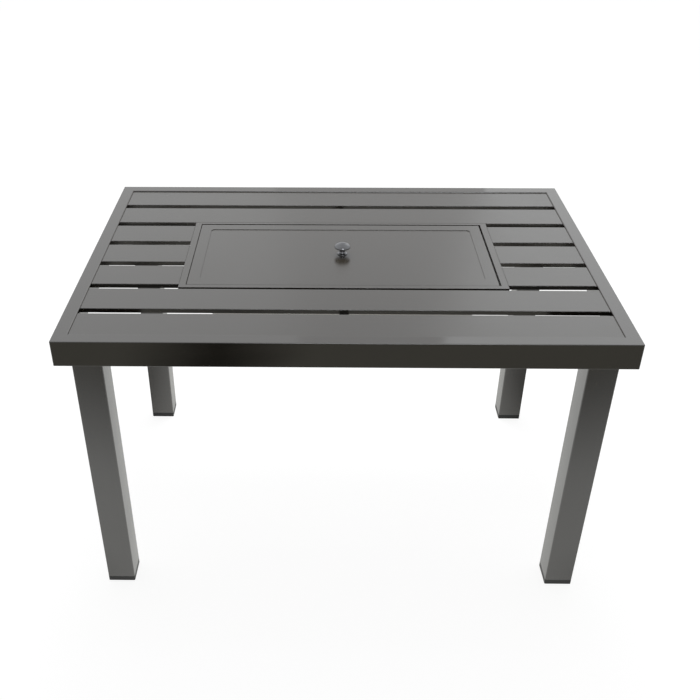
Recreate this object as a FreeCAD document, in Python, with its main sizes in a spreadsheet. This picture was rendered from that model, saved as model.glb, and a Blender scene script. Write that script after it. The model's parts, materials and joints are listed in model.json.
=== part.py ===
import FreeCAD, Part
import os
import re
import Sketcher
from FreeCAD import Placement, Rotation, Vector

# Gas fire pit table with a slatted aluminium top, all sizes in millimetres.
# Origin: floor, under the middle of the top. +X along the top, -Y is the front, +Z up.

os.makedirs("parts", exist_ok=True)
doc = FreeCAD.newDocument("fire_pit_table")
sheet = doc.addObject("Spreadsheet::Sheet", "sizes")

SIZES = [
    # Whole table
    ("table_length", "1220", "over the side rails"),
    ("table_width", "838", "over the front and back rails"),
    ("table_height", "735", "floor to the top of the border"),
    ("half_length", "=table_length / 2", "middle to the side face"),
    ("half_width", "=table_width / 2", "middle to the front face"),
    # Border rails
    ("rail_height", "60", "apron height"),
    ("rail_box_width", "24", "closed box of the rail"),
    ("rail_wall", "2", "rail wall"),
    ("rail_edge", "1", "broken edge along the rail"),
    ("lip_width", "31", "border seen from above"),
    ("lip_thickness", "2.5", "border plate over the slats"),
    ("rail_bottom", "=table_height - rail_height", "underside of the apron"),
    ("rail_inner_x", "=half_length - rail_box_width", "inner face of the side rails"),
    ("rail_inner_y", "=half_width - rail_box_width", "inner face of the front rail"),
    # Slats
    ("slot_width", "16", "open slot between two slats"),
    ("slat_thickness", "11.5", "height of a slat's edge"),
    ("slat_sheet", "2", "top and edges of a slat"),
    ("slat_edge", "0.8", "broken edge along a slat"),
    ("slat_rib", "9", "width of the rib under a slat"),
    ("slat_clearance", "0.3", "slat top to border plate"),
    ("slat_end_gap", "3", "slat end to the wall of its groove"),
    ("slat_tuck", "12", "part of an edge slat under the border"),
    ("slat_top", "=table_height - lip_thickness - slat_clearance", "top of the slats"),
    ("slat_under", "=slat_top - slat_thickness", "underside of the slats"),
    ("slat_width", "=(table_width - 2 * lip_width - 6 * slot_width) / 7", "slat seen from above"),
    ("slat_pitch", "=slat_width + slot_width", "row to row"),
    ("slat_reach", "=half_length - rail_wall - slat_end_gap", "middle to a slat's outer end"),
    ("groove_floor", "=slat_under - rail_bottom", "height of the rail's box"),
    # Trim frame round the lid
    ("rim_half", "377", "middle to the outer side edge"),
    ("row_edge", "=2 * slat_pitch - slat_width / 2", "middle to the long slats beside the frame"),
    ("rim_front_gap", "4.8", "trim frame to the long slat in front"),
    ("rim_back_gap", "0.3", "trim frame to the long slat behind"),
    ("rim_front", "=row_edge - rim_front_gap", "middle to the outer front edge"),
    ("rim_back", "=row_edge - rim_back_gap", "middle to the outer back edge"),
    ("rim_band_side", "16", "side band"),
    ("rim_band_front", "13", "front band"),
    ("rim_band_back", "9", "back band"),
    ("rim_sheet", "1.5", "sheet of the trim frame"),
    ("rim_gap", "1", "trim frame to the short slats"),
    ("ledge_width", "14", "ledge that carries the pan"),
    ("ledge_depth", "14", "slat top down to the ledge"),
    ("ledge_top", "=slat_top - ledge_depth", "top of the ledge"),
    ("hole_half", "=rim_half - rim_band_side", "middle to the opening's side"),
    ("hole_front", "=rim_front - rim_band_front", "middle to the opening's front"),
    ("hole_back", "=rim_back - rim_band_back", "middle to the opening's back"),
    # Frame under the slats
    ("tube_wall", "2", "wall of the frame tubes"),
    ("tube_height", "25", "height of the frame tubes"),
    ("header_width", "30", "long tubes beside the opening"),
    ("cross_width", "=rim_half - cross_face", "short tubes under the trim frame's sides"),
    ("centre_width", "20", "middle tubes under the front and back slats"),
    ("seat_clearance", "1.6", "trim frame wall to the frame tubes"),
    ("weld_gap", "0.1", "fit-up gap at a welded tube end"),
    ("header_front", "=hole_front + rim_sheet + seat_clearance", "inner face of the front tube"),
    ("header_back", "=hole_back + rim_sheet + seat_clearance", "inner face of the back tube"),
    ("bearer_clearance", "0.2", "trim frame wall to the short tubes"),
    ("cross_face", "=hole_half + rim_sheet + bearer_clearance", "inner face of the short tubes"),
    ("tube_bottom", "=slat_under - tube_height", "underside of the frame tubes"),
    # Legs
    ("leg_side", "66", "square leg"),
    ("leg_wall", "2", "leg wall"),
    ("leg_radius", "3", "leg corner radius"),
    ("leg_inset_side", "26", "side rail face to leg face"),
    ("leg_inset_front", "38", "front rail face to leg face"),
    ("leg_face_x", "=half_length - leg_inset_side", "outer side face of a leg"),
    ("leg_face_y", "=half_width - leg_inset_front", "outer front face of a leg"),
    ("leg_plate", "100", "square plate on top of a leg"),
    ("leg_plate_thickness", "4", "thickness of that plate"),
    ("plate_cut", "14", "cut-off inner corner of that plate"),
    ("leg_entry", "25", "leg above the apron's lower edge"),
    ("leg_plate_top", "=rail_bottom + leg_entry", "where the leg meets its bracket"),
    ("foot_height", "14", "foot cap below the tube"),
    ("foot_plug", "18", "part of the foot cap inside the tube"),
    ("foot_fit", "0.2", "foot cap plug to tube wall"),
    ("bracket_sheet", "3", "corner bracket sheet"),
    ("bracket_span", "130", "corner bracket along each rail"),
    ("bracket_lift", "20", "height of the bracket's upright edges"),
    ("bracket_cut", "32", "cut-off inner corner of a bracket"),
    # Bolts and screws
    ("bolt_radius", "4", "M8 bolt"),
    ("bolt_head", "7.5", "hexagon head, middle to corner"),
    ("bolt_head_height", "5.3", "hexagon head"),
    ("bolt_hole", "4.5", "clearance hole for a bolt"),
    ("bolt_thread", "4.15", "tapped hole for a bolt"),
    ("bolt_near", "20", "bolt to the leg's outer face, near"),
    ("bolt_far", "83", "bolt to the leg's outer face, far"),
    ("bolt_length", "16", "under the head"),
    ("screw_radius", "2.5", "M5 screw"),
    ("screw_hole", "2.65", "hole for an M5 screw"),
    ("screw_head", "4.7", "hexagon head, middle to corner"),
    ("screw_head_height", "2.8", "head height"),
    ("screw_length", "10", "under the head"),
    ("clip_width", "60", "angle clip under a short slat"),
    ("clip_reach", "20", "angle clip, both legs"),
    ("clip_sheet", "2", "angle clip sheet"),
    # Lid
    ("lid_gap_left", "1", "lid to its opening"),
    ("lid_gap_right", "4", "lid to its opening"),
    ("lid_gap_front", "0.8", "lid to its opening"),
    ("lid_gap_back", "2.9", "lid to its opening"),
    ("lid_length", "=2 * hole_half - lid_gap_left - lid_gap_right", "lid"),
    ("lid_width", "=hole_front + hole_back - lid_gap_front - lid_gap_back", "lid"),
    ("lid_middle_x", "=(lid_gap_left - lid_gap_right) / 2", "how the lid lies in its opening"),
    ("lid_middle_y", "=(hole_back - lid_gap_back - hole_front + lid_gap_front) / 2", "how the lid lies in its opening"),
    ("lid_sheet", "1.5", "lid sheet"),
    ("lid_proud", "0.3", "lid above the slats"),
    ("lid_top", "=slat_top + lid_proud", "top of the lid's border"),
    ("lid_skirt", "10.5", "folded edge"),
    ("lid_radius", "3", "lid corner"),
    ("lid_border", "27", "raised border of the lid"),
    ("lid_step", "1.8", "border down to the panel"),
    ("panel_radius", "9", "panel corner"),
    ("lid_foot", "14", "square rubber foot under the lid"),
    ("lid_foot_inset", "16", "middle of a rubber foot to the lid's edge"),
    ("lid_panel_z", "=lid_top - lid_step", "top of the lid's panel"),
    # Lid knob
    ("knob_flange", "12", "base radius"),
    ("knob_flange_height", "2.5", "base height"),
    ("knob_neck", "6.5", "neck radius"),
    ("knob_radius", "19.5", "dome radius"),
    ("knob_rise", "13.5", "panel to the dome's underside"),
    ("knob_rim", "5", "upright rim of the dome"),
    ("knob_crown", "10", "rim to the top"),
    ("knob_screw_bite", "12", "screw inside the knob"),
    # Burner pan
    ("pan_side", "52", "opening's side to the pan wall"),
    ("pan_margin", "19.9", "opening's front and back to the pan wall"),
    ("pan_half", "=hole_half - pan_side", "middle to the side wall"),
    ("pan_front", "=hole_front - pan_margin", "middle to the front wall"),
    ("pan_back", "=hole_back - pan_margin", "middle to the back wall"),
    ("pan_depth", "85", "flange top to pan bottom"),
    ("pan_sheet", "1.2", "pan sheet"),
    ("pan_radius", "12", "upright corner of the pan"),
    ("pan_play", "1.5", "pan flange to the trim frame"),
    ("pan_top", "=ledge_top + pan_sheet", "top of the pan flange"),
    ("pan_bottom", "=pan_top - pan_depth", "underside of the pan"),
    ("pan_floor", "=pan_bottom + pan_sheet", "inside floor of the pan"),
    ("pan_reach", "=(pan_back + pan_front) / 2", "middle of the pan to its front wall"),
    ("fire_y", "=(pan_back - pan_front) / 2", "middle of the pan"),
    # Burner
    ("burner_radius", "9.5", "half side of the square burner tube"),
    ("burner_wall", "1.2", "burner tube wall"),
    ("burner_margin", "59", "pan wall to the burner's end"),
    ("burner_half", "=pan_half - burner_margin", "half length of the burner"),
    ("burner_spread", "=pan_reach * 0.416", "middle to each long tube"),
    ("burner_rise", "25", "pan floor to the tube axis"),
    ("port_radius", "1.5", "gas port"),
    ("port_pitch", "=burner_half * 0.28", "port to port"),
    ("socket_radius", "14", "threaded socket under the burner"),
    ("nipple_radius", "10.5", "feed pipe"),
    ("nipple_bore", "9", "feed pipe bore, middle to corner"),
    ("nipple_fit", "0.2", "feed pipe to its sockets"),
    ("burner_level", "=pan_floor + burner_rise", "axis of the burner tubes"),
    ("nipple_drop", "48.4", "feed pipe below the pan"),
    ("nipple_rise", "14.4", "feed pipe above the pan floor"),
    ("nipple_bottom", "=pan_bottom - nipple_drop", "lower end of the feed pipe"),
    ("nipple_top", "=pan_floor + nipple_rise", "upper end of the feed pipe"),
    ("locknut_radius", "18", "nut under the pan, middle to corner"),
    ("locknut_height", "8", "nut under the pan"),
    ("stand_x", "=burner_half * 0.8", "burner stands from the middle"),
    ("stand_width", "16", "inside width of a burner stand"),
    ("stand_depth", "14", "burner stand across the tube"),
    ("stand_foot", "8", "welded foot of a burner stand"),
    # Heat shield
    ("shield_drop", "25", "pan bottom to the shield"),
    ("shield_sheet", "1.2", "shield sheet"),
    ("shield_half", "=pan_half - 9", "shield"),
    ("shield_foot", "14", "welded foot of the shield"),
    ("shield_reach", "=pan_reach - 10", "shield, from the pan's middle"),
    ("shield_hole", "32", "hole round the feed pipe"),
    ("shield_top", "=pan_bottom - shield_drop", "top of the shield"),
    ("shield_under", "=shield_top - shield_sheet", "underside of the shield"),
    # Gas mixer
    ("mixer_radius", "13.5", "air mixer"),
    ("mixer_wall", "3", "floor of the air mixer"),
    ("air_window", "5", "half width of the air window"),
    ("mixer_top", "=nipple_bottom + 6", "upper end"),
    ("mixer_neck", "=mixer_top - 9", "start of the upper collar"),
    ("mixer_bottom", "=mixer_top - 44", "lower end"),
    ("jet_hex", "10", "jet fitting, middle to corner"),
    ("jet_neck", "5", "jet radius"),
    ("jet_hex_height", "10", "jet fitting"),
    ("feed_radius", "6", "gas pipe"),
    ("elbow_half", "8.5", "half width of a pipe elbow"),
    ("elbow_arm", "22", "pipe axis to an elbow's open end"),
    ("elbow_cut", "6", "broken outer corner of an elbow"),
    ("feed_start", "=mixer_bottom - 20", "gas pipe end at the jet"),
    ("feed_low", "=feed_start - 38", "level of the gas pipe"),
    # Control panel
    ("panel_half", "75", "half width of the panel"),
    ("panel_low", "=rail_bottom - panel_high", "lower edge"),
    ("panel_sheet", "1.5", "panel sheet"),
    ("panel_high", "75", "height of the panel"),
    ("panel_return", "16", "folded sides"),
    ("panel_flange", "35", "flange under the back rail"),
    ("panel_y", "=rail_inner_y - 13", "back of the panel sheet"),
    ("panel_screw_y", "=rail_inner_y + rail_box_width / 2", "panel screws"),
    ("panel_face", "=panel_y + panel_sheet", "face of the panel sheet"),
    ("panel_screw_x", "60", "panel screws from the middle"),
    # Gas valve
    ("valve_level", "=rail_bottom - 35", "valve axis"),
    ("valve_half", "16", "half width of the valve"),
    ("valve_front", "12", "valve to the panel"),
    ("valve_depth", "35", "valve along its axis"),
    ("valve_under", "18", "axis down to the valve's underside"),
    ("valve_collar", "12", "collar against the panel"),
    ("valve_neck", "8", "threaded neck"),
    ("neck_length", "8", "neck beyond the panel's back"),
    ("stem_radius", "3", "valve stem"),
    ("stem_bore", "3.4", "bore round the stem"),
    ("stem_flange", "6", "shoulder on the stem"),
    ("cavity_radius", "7.6", "spring chamber, middle to corner"),
    ("valve_y", "=panel_y - valve_front", "valve face towards the panel"),
    ("valve_back", "=valve_y - valve_depth", "far face of the valve"),
    ("valve_middle", "=valve_y - valve_depth / 2", "middle of the valve"),
    ("nut_radius", "12.5", "valve nut, middle to corner"),
    ("nut_height", "4", "valve nut"),
    ("dial_radius", "21", "control knob skirt"),
    ("dial_grip", "19", "half length of the grip bar"),
    ("dial_bar", "6.5", "half width of the grip bar"),
    ("dial_soft", "3", "rounded edge of the grip bar"),
    ("dial_skirt", "5", "control knob skirt"),
    ("dial_height", "22", "control knob"),
    ("dial_start", "10.5", "panel face to the knob"),
    # Gas inlet
    ("inlet_hex", "11", "inlet hexagon, middle to corner"),
    ("inlet_hex_length", "8", "inlet hexagon"),
    ("inlet_elbow", "20", "inlet elbow block"),
    ("inlet_radius", "7.94", "5/8 inch thread of a 3/8 flare fitting"),
    ("inlet_length", "14", "inlet thread"),
    ("inlet_bore", "4", "inlet bore"),
    # Igniter
    ("igniter_x", "-48", "igniter from the middle"),
    ("igniter_half", "9.5", "half side of the igniter body"),
    ("igniter_length", "42", "body behind the panel"),
    ("igniter_bezel", "13", "half side of the igniter bezel"),
    ("igniter_face", "2.5", "thickness of the bezel"),
    ("igniter_fit", "0.3", "igniter body to its hole"),
    ("igniter_bore", "6.9", "button bore"),
    ("button_radius", "6.5", "igniter button"),
    ("button_out", "8", "button beyond the flange"),
    ("button_in", "5", "button inside the flange"),
    ("button_travel", "5", "button travel"),
    # Spark electrode and flame sensor
    ("probe_x", "30", "probe from the middle"),
    ("probe_gap", "17", "probe from the front burner tube's axis"),
    ("probe_radius", "3.5", "probe body"),
    ("probe_flange", "7", "probe flange"),
    ("probe_hole", "3.8", "probe hole in the pan"),
]

names = [row[0] for row in SIZES]
for line, (name, number, note) in enumerate(SIZES, start=1):
    sheet.set(f"A{line}", name)
    sheet.set(f"C{line}", note)
    sheet.setAlias(f"B{line}", name)
for line, (name, number, note) in enumerate(SIZES, start=1):
    sheet.set(f"B{line}", number)
doc.recompute()

WORD = re.compile(r"\b(" + "|".join(sorted(names, key=len, reverse=True)) + r")\b")


def bound(text):
    """Turn names of the sheet into references to it."""
    return WORD.sub(r"sizes.\1", str(text))


def value(text):
    """Number that an expression of sheet names has now."""
    probe = doc.getObject("number_probe") or doc.addObject("Part::Box", "number_probe")
    probe.setExpression("Placement.Base.x", bound(text))
    probe.recompute()
    return probe.Placement.Base.x


def put(item, x, y, z, turn=None):
    if turn is not None:
        item.Placement = Placement(Vector(0, 0, 0), turn)
    item.setExpression("Placement.Base.x", bound(x))
    item.setExpression("Placement.Base.y", bound(y))
    item.setExpression("Placement.Base.z", bound(z))
    return item


def box(x_low, x_high, y_low, y_high, z_low, z_high):
    item = doc.addObject("Part::Box", "block")
    item.setExpression("Length", bound(f"({x_high}) - ({x_low})"))
    item.setExpression("Width", bound(f"({y_high}) - ({y_low})"))
    item.setExpression("Height", bound(f"({z_high}) - ({z_low})"))
    return put(item, x_low, y_low, z_low)


ALONG = {
    "x": Rotation(Vector(0, 1, 0), 90),
    "y": Rotation(Vector(1, 0, 0), -90),
    "z": Rotation(),
}


def rod(axis, x, y, z, radius, length):
    item = doc.addObject("Part::Cylinder", "rod")
    item.setExpression("Radius", bound(radius))
    item.setExpression("Height", bound(length))
    return put(item, x, y, z, ALONG[axis])


def hexagon(axis, x, y, z, radius, length):
    item = doc.addObject("Part::Prism", "hexagon")
    item.Polygon = 6
    item.setExpression("Circumradius", bound(radius))
    item.setExpression("Height", bound(length))
    return put(item, x, y, z, ALONG[axis])


def join(parts):
    if len(parts) == 1:
        return parts[0]
    item = doc.addObject("Part::MultiFuse", "joined")
    item.Shapes = parts
    item.Refine = True
    return item


def bundle(parts):
    if len(parts) == 1:
        return parts[0]
    item = doc.addObject("Part::Compound", "bundle")
    item.Links = parts
    return item


def cut(base, tools):
    item = doc.addObject("Part::Cut", "trimmed")
    item.Base = base
    item.Tool = bundle(tools)
    item.Refine = True
    return item


NODES = []


def node(name, item):
    item.Label = name
    NODES.append((name, item))
    return item


def sketch_on(body, role, name):
    plane = [part for part in body.Origin.OriginFeatures if part.Role == role][0]
    sketch = body.newObject("Sketcher::SketchObject", name)
    sketch.AttachmentSupport = (plane, [""])
    sketch.MapMode = "FlatFace"
    return sketch


def fix_point(sketch, line, end, across, up):
    """Hold one end of a sketch line at two sheet expressions."""
    for kind, text in (("DistanceX", across), ("DistanceY", up)):
        number = sketch.addConstraint(Sketcher.Constraint(kind, -1, 1, line, end, value(text)))
        label = f"{kind[-1].lower()}{line}_{end}"
        sketch.renameConstraint(number, label)
        if re.search("[a-z]", str(text)):
            sketch.setExpression(f"Constraints.{label}", bound(text))


def outline(sketch, points):
    """Closed outline through points given as pairs of sheet expressions."""
    first = sketch.GeometryCount
    spots = [Vector(value(across), value(up), 0) for across, up in points]
    count = len(points)
    for place in range(count):
        sketch.addGeometry(Part.LineSegment(spots[place], spots[(place + 1) % count]))
    for place in range(count):
        follower = first + (place + 1) % count
        sketch.addConstraint(Sketcher.Constraint("Coincident", first + place, 2, follower, 1))
    for place, (across, up) in enumerate(points):
        fix_point(sketch, first + place, 1, across, up)


def rounded(sketch, low_x, low_y, high_x, high_y, radius):
    """Closed rectangle with round corners."""
    first = sketch.GeometryCount
    radius = f"({radius})"
    sides = [
        ((f"{low_x} + {radius}", low_y), (f"{high_x} - {radius}", low_y)),
        ((high_x, f"{low_y} + {radius}"), (high_x, f"{high_y} - {radius}")),
        ((f"{high_x} - {radius}", high_y), (f"{low_x} + {radius}", high_y)),
        ((low_x, f"{high_y} - {radius}"), (low_x, f"{low_y} + {radius}")),
    ]
    size = value(radius)
    for start, end in sides:
        one = Vector(value(start[0]), value(start[1]), 0)
        two = Vector(value(end[0]), value(end[1]), 0)
        sketch.addGeometry(Part.LineSegment(one, two))
    right_angle = 1.5707963267948966
    middles = [
        (f"{high_x} - {radius}", f"{low_y} + {radius}", 3),
        (f"{high_x} - {radius}", f"{high_y} - {radius}", 0),
        (f"{low_x} + {radius}", f"{high_y} - {radius}", 1),
        (f"{low_x} + {radius}", f"{low_y} + {radius}", 2),
    ]
    for across, up, quarter in middles:
        circle = Part.Circle(Vector(value(across), value(up), 0), Vector(0, 0, 1), size)
        start = quarter * right_angle
        sketch.addGeometry(Part.ArcOfCircle(circle, start, start + right_angle))
    for corner in range(4):
        arc = first + 4 + corner
        sketch.addConstraint(Sketcher.Constraint("Coincident", first + corner, 2, arc, 1))
        follower = first + (corner + 1) % 4
        sketch.addConstraint(Sketcher.Constraint("Coincident", arc, 2, follower, 1))
    for line, (start, end) in enumerate(sides):
        fix_point(sketch, first + line, 1, *start)
        fix_point(sketch, first + line, 2, *end)
    for corner in range(4):
        arc = first + 4 + corner
        number = sketch.addConstraint(Sketcher.Constraint("Radius", arc, size))
        sketch.renameConstraint(number, f"radius{arc}")
        sketch.setExpression(f"Constraints.radius{arc}", bound(radius))


def padded(name, role, length, draw):
    """Body with one padded sketch."""
    body = doc.addObject("PartDesign::Body", name)
    sketch = sketch_on(body, role, "section")
    draw(sketch)
    pad = body.newObject("PartDesign::Pad", "length")
    pad.Profile = sketch
    pad.setExpression("Length", bound(length))
    return body


def rounded_block(x_low, x_high, y_low, y_high, z_low, z_high, radius):
    """Upright block with round corners."""
    body = padded(
        "rounded_block", "XY_Plane", f"({z_high}) - ({z_low})",
        lambda sketch: rounded(
            sketch, "0", "0", f"({x_high}) - ({x_low})", f"({y_high}) - ({y_low})", radius))
    return put(body, x_low, y_low, z_low)


def side(sign, near, far):
    """Low and high end of a span given by its distances from the middle."""
    if sign > 0:
        return near, far
    return f"-({far})", f"-({near})"


# Border rails: a box below, a groove for the slats and a flat plate above, mitred at both ends
def rail_section(sketch):
    outline(sketch, [
        ("0", "0"),
        ("rail_box_width", "0"),
        ("rail_box_width", "groove_floor"),
        ("rail_wall", "groove_floor"),
        ("rail_wall", "rail_height - lip_thickness"),
        ("lip_width", "rail_height - lip_thickness"),
        ("lip_width", "rail_height - rail_edge / 2"),
        ("lip_width - rail_edge / 2", "rail_height"),
        ("rail_edge", "rail_height"),
        ("rail_edge * 0.293", "rail_height - rail_edge * 0.293"),
        ("0", "rail_height - rail_edge"),
    ])
    outline(sketch, [
        ("rail_wall", "rail_wall"),
        ("rail_box_width - rail_wall", "rail_wall"),
        ("rail_box_width - rail_wall", "groove_floor - rail_wall"),
        ("rail_wall", "groove_floor - rail_wall"),
    ])


def mitre_section(sketch, length):
    outline(sketch, [("0", "0"), ("lip_width + 1", "lip_width + 1"), ("0", "lip_width + 1")])
    outline(sketch, [
        (length, "0"),
        (length, "lip_width + 1"),
        (f"{length} - lip_width - 1", "lip_width + 1"),
    ])


def rail(name, length, x, y, turn):
    body = padded(name, "YZ_Plane", length, rail_section)
    sketch = sketch_on(body, "XY_Plane", "mitres")
    mitre_section(sketch, length)
    pocket = body.newObject("PartDesign::Pocket", "mitre_cuts")
    pocket.Profile = sketch
    pocket.Type = "Length"
    pocket.Reversed = True
    pocket.setExpression("Length", bound("rail_height + 1"))
    return put(body, x, y, "rail_bottom", Rotation(Vector(0, 0, 1), turn))


node("front_rail", rail("front_rail", "table_length", "-half_length", "-half_width", 0))
node("left_rail", rail("left_rail", "table_width", "-half_length", "half_width", -90))
node("right_rail", rail("right_rail", "table_width", "half_length", "-half_width", 90))
node("back_rail", cut(rail("back_rail_body", "table_length", "half_length", "half_width", 180), [
    hexagon("z", f"{sign} * panel_screw_x", "panel_screw_y", "rail_bottom - 1", "screw_hole",
            "rail_wall + 2")
    for sign in (-1, 1)
]))


# Slats: channel planks with a rib underneath, rows 1 (back) to 7 (front)
def slat_section(width, rib):
    def draw(sketch):
        outline(sketch, [
            ("0", "0"),
            ("slat_sheet", "0"),
            ("slat_sheet", "slat_thickness - slat_sheet"),
            (f"{rib} - slat_rib / 2", "slat_thickness - slat_sheet"),
            (f"{rib} - slat_rib / 2", "0"),
            (f"{rib} + slat_rib / 2", "0"),
            (f"{rib} + slat_rib / 2", "slat_thickness - slat_sheet"),
            (f"{width} - slat_sheet", "slat_thickness - slat_sheet"),
            (f"{width} - slat_sheet", "0"),
            (width, "0"),
            (width, "slat_thickness - slat_edge"),
            (f"{width} - slat_edge", "slat_thickness"),
            ("slat_edge", "slat_thickness"),
            ("0", "slat_thickness - slat_edge"),
        ])
    return draw


def slat(name, row, x_low, x_high):
    """One slat; rows 1 and 7 also reach under the border."""
    width = "slat_width"
    rib = "slat_width / 2"
    low = f"{4 - row} * slat_pitch - slat_width / 2"
    if row in (1, 7):
        width = "(slat_width + slat_tuck)"
    if row == 7:
        rib = "(slat_tuck + slat_width / 2)"
        low = f"{low} - slat_tuck"
    body = padded(name, "YZ_Plane", f"({x_high}) - ({x_low})", slat_section(width, rib))
    return node(name, put(body, x_low, low, "slat_under"))


for row in (1, 2, 6, 7):
    slat(f"slat_{row}", row, "-slat_reach", "slat_reach")
for row in (3, 4, 5):
    slat(f"slat_{row}_left", row, "-slat_reach", "-rim_half - rim_gap")
    slat(f"slat_{row}_right", row, "rim_half + rim_gap", "slat_reach")


# Welded frame under the slats: square tubes, and clips that hold the short slats
def tube_section(width):
    def draw(sketch):
        outline(sketch, [("0", "0"), (width, "0"), (width, "tube_height"), ("0", "tube_height")])
        outline(sketch, [
            ("tube_wall", "tube_wall"),
            (f"{width} - tube_wall", "tube_wall"),
            (f"{width} - tube_wall", "tube_height - tube_wall"),
            ("tube_wall", "tube_height - tube_wall"),
        ])
    return draw


def long_tube(name, y_low):
    """Tube along the table, from side rail to side rail."""
    body = padded(name, "YZ_Plane", "2 * (rail_inner_x - weld_gap)", tube_section("header_width"))
    return node(name, put(body, "-rail_inner_x + weld_gap", y_low, "tube_bottom"))


def cross_tube(name, width, x_low, y_low, y_high):
    """Tube across the table."""
    body = padded(name, "XZ_Plane", f"({y_high}) - ({y_low})", tube_section(width))
    return node(name, put(body, x_low, y_high, "tube_bottom"))


long_tube("front_header", "-header_front - header_width")
long_tube("back_header", "header_back")
cross_tube("left_bearer", "cross_width", "-cross_face - cross_width",
           "-header_front + weld_gap", "header_back - weld_gap")
cross_tube("right_bearer", "cross_width", "cross_face",
           "-header_front + weld_gap", "header_back - weld_gap")
cross_tube("front_bearer", "centre_width", "-centre_width / 2",
           "-rail_inner_y + weld_gap", "-header_front - header_width - weld_gap")
cross_tube("back_bearer", "centre_width", "-centre_width / 2",
           "header_back + header_width + weld_gap", "rail_inner_y - weld_gap")


def clip_section(sketch):
    outline(sketch, [
        ("0", "clip_reach - clip_sheet"),
        ("clip_reach - clip_sheet", "clip_reach - clip_sheet"),
        ("clip_reach - clip_sheet", "0"),
        ("clip_reach", "0"),
        ("clip_reach", "clip_reach"),
        ("0", "clip_reach"),
    ])


clips = []
for sign in (-1, 1):
    for step in (-1, 0, 1):
        body = padded("clip", "XZ_Plane", "clip_width", clip_section)
        turn = 0 if sign < 0 else 180
        x = f"{sign} * (rim_half + clip_reach)"
        y = f"{step} * slat_pitch - {sign} * clip_width / 2"
        clips.append(put(body, x, y, "slat_under - clip_reach", Rotation(Vector(0, 0, 1), turn)))
node("slat_clips", bundle(clips))

# Legs: square tubes with a welded plate, bolted up into corner brackets
BOLTS = [("bolt_far", "bolt_near"), ("bolt_near", "bolt_far")]
CORNERS = [("front_left", -1, -1), ("front_right", 1, -1), ("back_left", -1, 1), ("back_right", 1, 1)]


def leg_section(sketch):
    rounded(sketch, "0", "0", "leg_side", "leg_side", "leg_radius")
    outline(sketch, [
        ("leg_wall", "leg_wall"),
        ("leg_side - leg_wall", "leg_wall"),
        ("leg_side - leg_wall", "leg_side - leg_wall"),
        ("leg_wall", "leg_side - leg_wall"),
    ])


def cut_corner(sign_x, sign_y, span, step):
    """Square with its corner towards the middle of the table cut off."""
    def draw(sketch):
        spots = {
            (1, 1): [(step, "0"), (span, "0"), (span, span), ("0", span), ("0", step)],
            (-1, 1): [("0", "0"), (f"{span} - {step}", "0"), (span, step), (span, span), ("0", span)],
            (-1, -1): [("0", "0"), (span, "0"), (span, f"{span} - {step}"),
                       (f"{span} - {step}", span), ("0", span)],
            (1, -1): [("0", "0"), (span, "0"), (span, span), (step, span),
                      ("0", f"{span} - {step}")],
        }
        outline(sketch, spots[(sign_x, sign_y)])
    return draw


brackets = []
leg_bolts = []
foot_caps = []
for corner, sign_x, sign_y in CORNERS:
    bolt_spots = [
        (f"{sign_x} * (leg_face_x - {x_step})", f"{sign_y} * (leg_face_y - {y_step})")
        for x_step, y_step in BOLTS
    ]
    plate_under = "leg_plate_top - leg_plate_thickness"
    leg_x = side(sign_x, "leg_face_x - leg_side", "leg_face_x")[0]
    leg_y = side(sign_y, "leg_face_y - leg_side", "leg_face_y")[0]
    post = padded("post", "XY_Plane", f"{plate_under} - foot_height", leg_section)
    put(post, leg_x, leg_y, "foot_height")
    plate = padded("top_plate", "XY_Plane", "leg_plate_thickness",
                   cut_corner(sign_x, sign_y, "leg_plate", "plate_cut"))
    put(plate, side(sign_x, "leg_face_x - leg_plate", "leg_face_x")[0],
        side(sign_y, "leg_face_y - leg_plate", "leg_face_y")[0], plate_under)
    holes = [
        hexagon("z", x, y, f"{plate_under} - 1", "bolt_hole", "leg_plate_thickness + 2")
        for x, y in bolt_spots
    ]
    node(f"{corner}_leg", cut(join([post, plate]), holes))

    floor = padded("bracket_floor", "XY_Plane", "bracket_sheet",
                   cut_corner(sign_x, sign_y, "bracket_span", "bracket_cut"))
    x_low, x_high = side(sign_x, "rail_inner_x - bracket_span", "rail_inner_x")
    y_low, y_high = side(sign_y, "rail_inner_y - bracket_span", "rail_inner_y")
    put(floor, x_low, y_low, "leg_plate_top")
    x_edge = side(sign_x, "rail_inner_x - bracket_sheet", "rail_inner_x")
    y_edge = side(sign_y, "rail_inner_y - bracket_sheet", "rail_inner_y")
    edge_top = "leg_plate_top + bracket_lift"
    edge_x = box(*x_edge, y_low, y_high, "leg_plate_top", edge_top)
    edge_y = box(x_low, x_high, *y_edge, "leg_plate_top", edge_top)
    holes = [
        hexagon("z", x, y, "leg_plate_top - 1", "bolt_thread", "bracket_sheet + 2")
        for x, y in bolt_spots
    ]
    brackets.append(cut(join([floor, edge_x, edge_y]), holes))
    for x, y in bolt_spots:
        leg_bolts.append(join([
            hexagon("z", x, y, f"{plate_under} - bolt_head_height", "bolt_head", "bolt_head_height"),
            hexagon("z", x, y, f"{plate_under} - 0.5", "bolt_radius", "bolt_length + 0.5"),
        ]))

    x_low, x_high = side(sign_x, "leg_face_x - leg_side", "leg_face_x")
    y_low, y_high = side(sign_y, "leg_face_y - leg_side", "leg_face_y")
    cap = rounded_block(x_low, x_high, y_low, y_high, "0", "foot_height", "leg_radius")
    gap = "(leg_wall + foot_fit)"
    plug = box(f"{x_low} + {gap}", f"{x_high} - {gap}", f"{y_low} + {gap}", f"{y_high} - {gap}",
               "foot_height - 1", "foot_height + foot_plug")
    wall = "(leg_wall * 2 + foot_fit)"
    hollow = box(f"{x_low} + {wall}", f"{x_high} - {wall}", f"{y_low} + {wall}", f"{y_high} - {wall}",
                 "foot_height / 3", "foot_height + foot_plug + 1")
    foot_caps.append(cut(join([cap, plug]), [hollow]))

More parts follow.
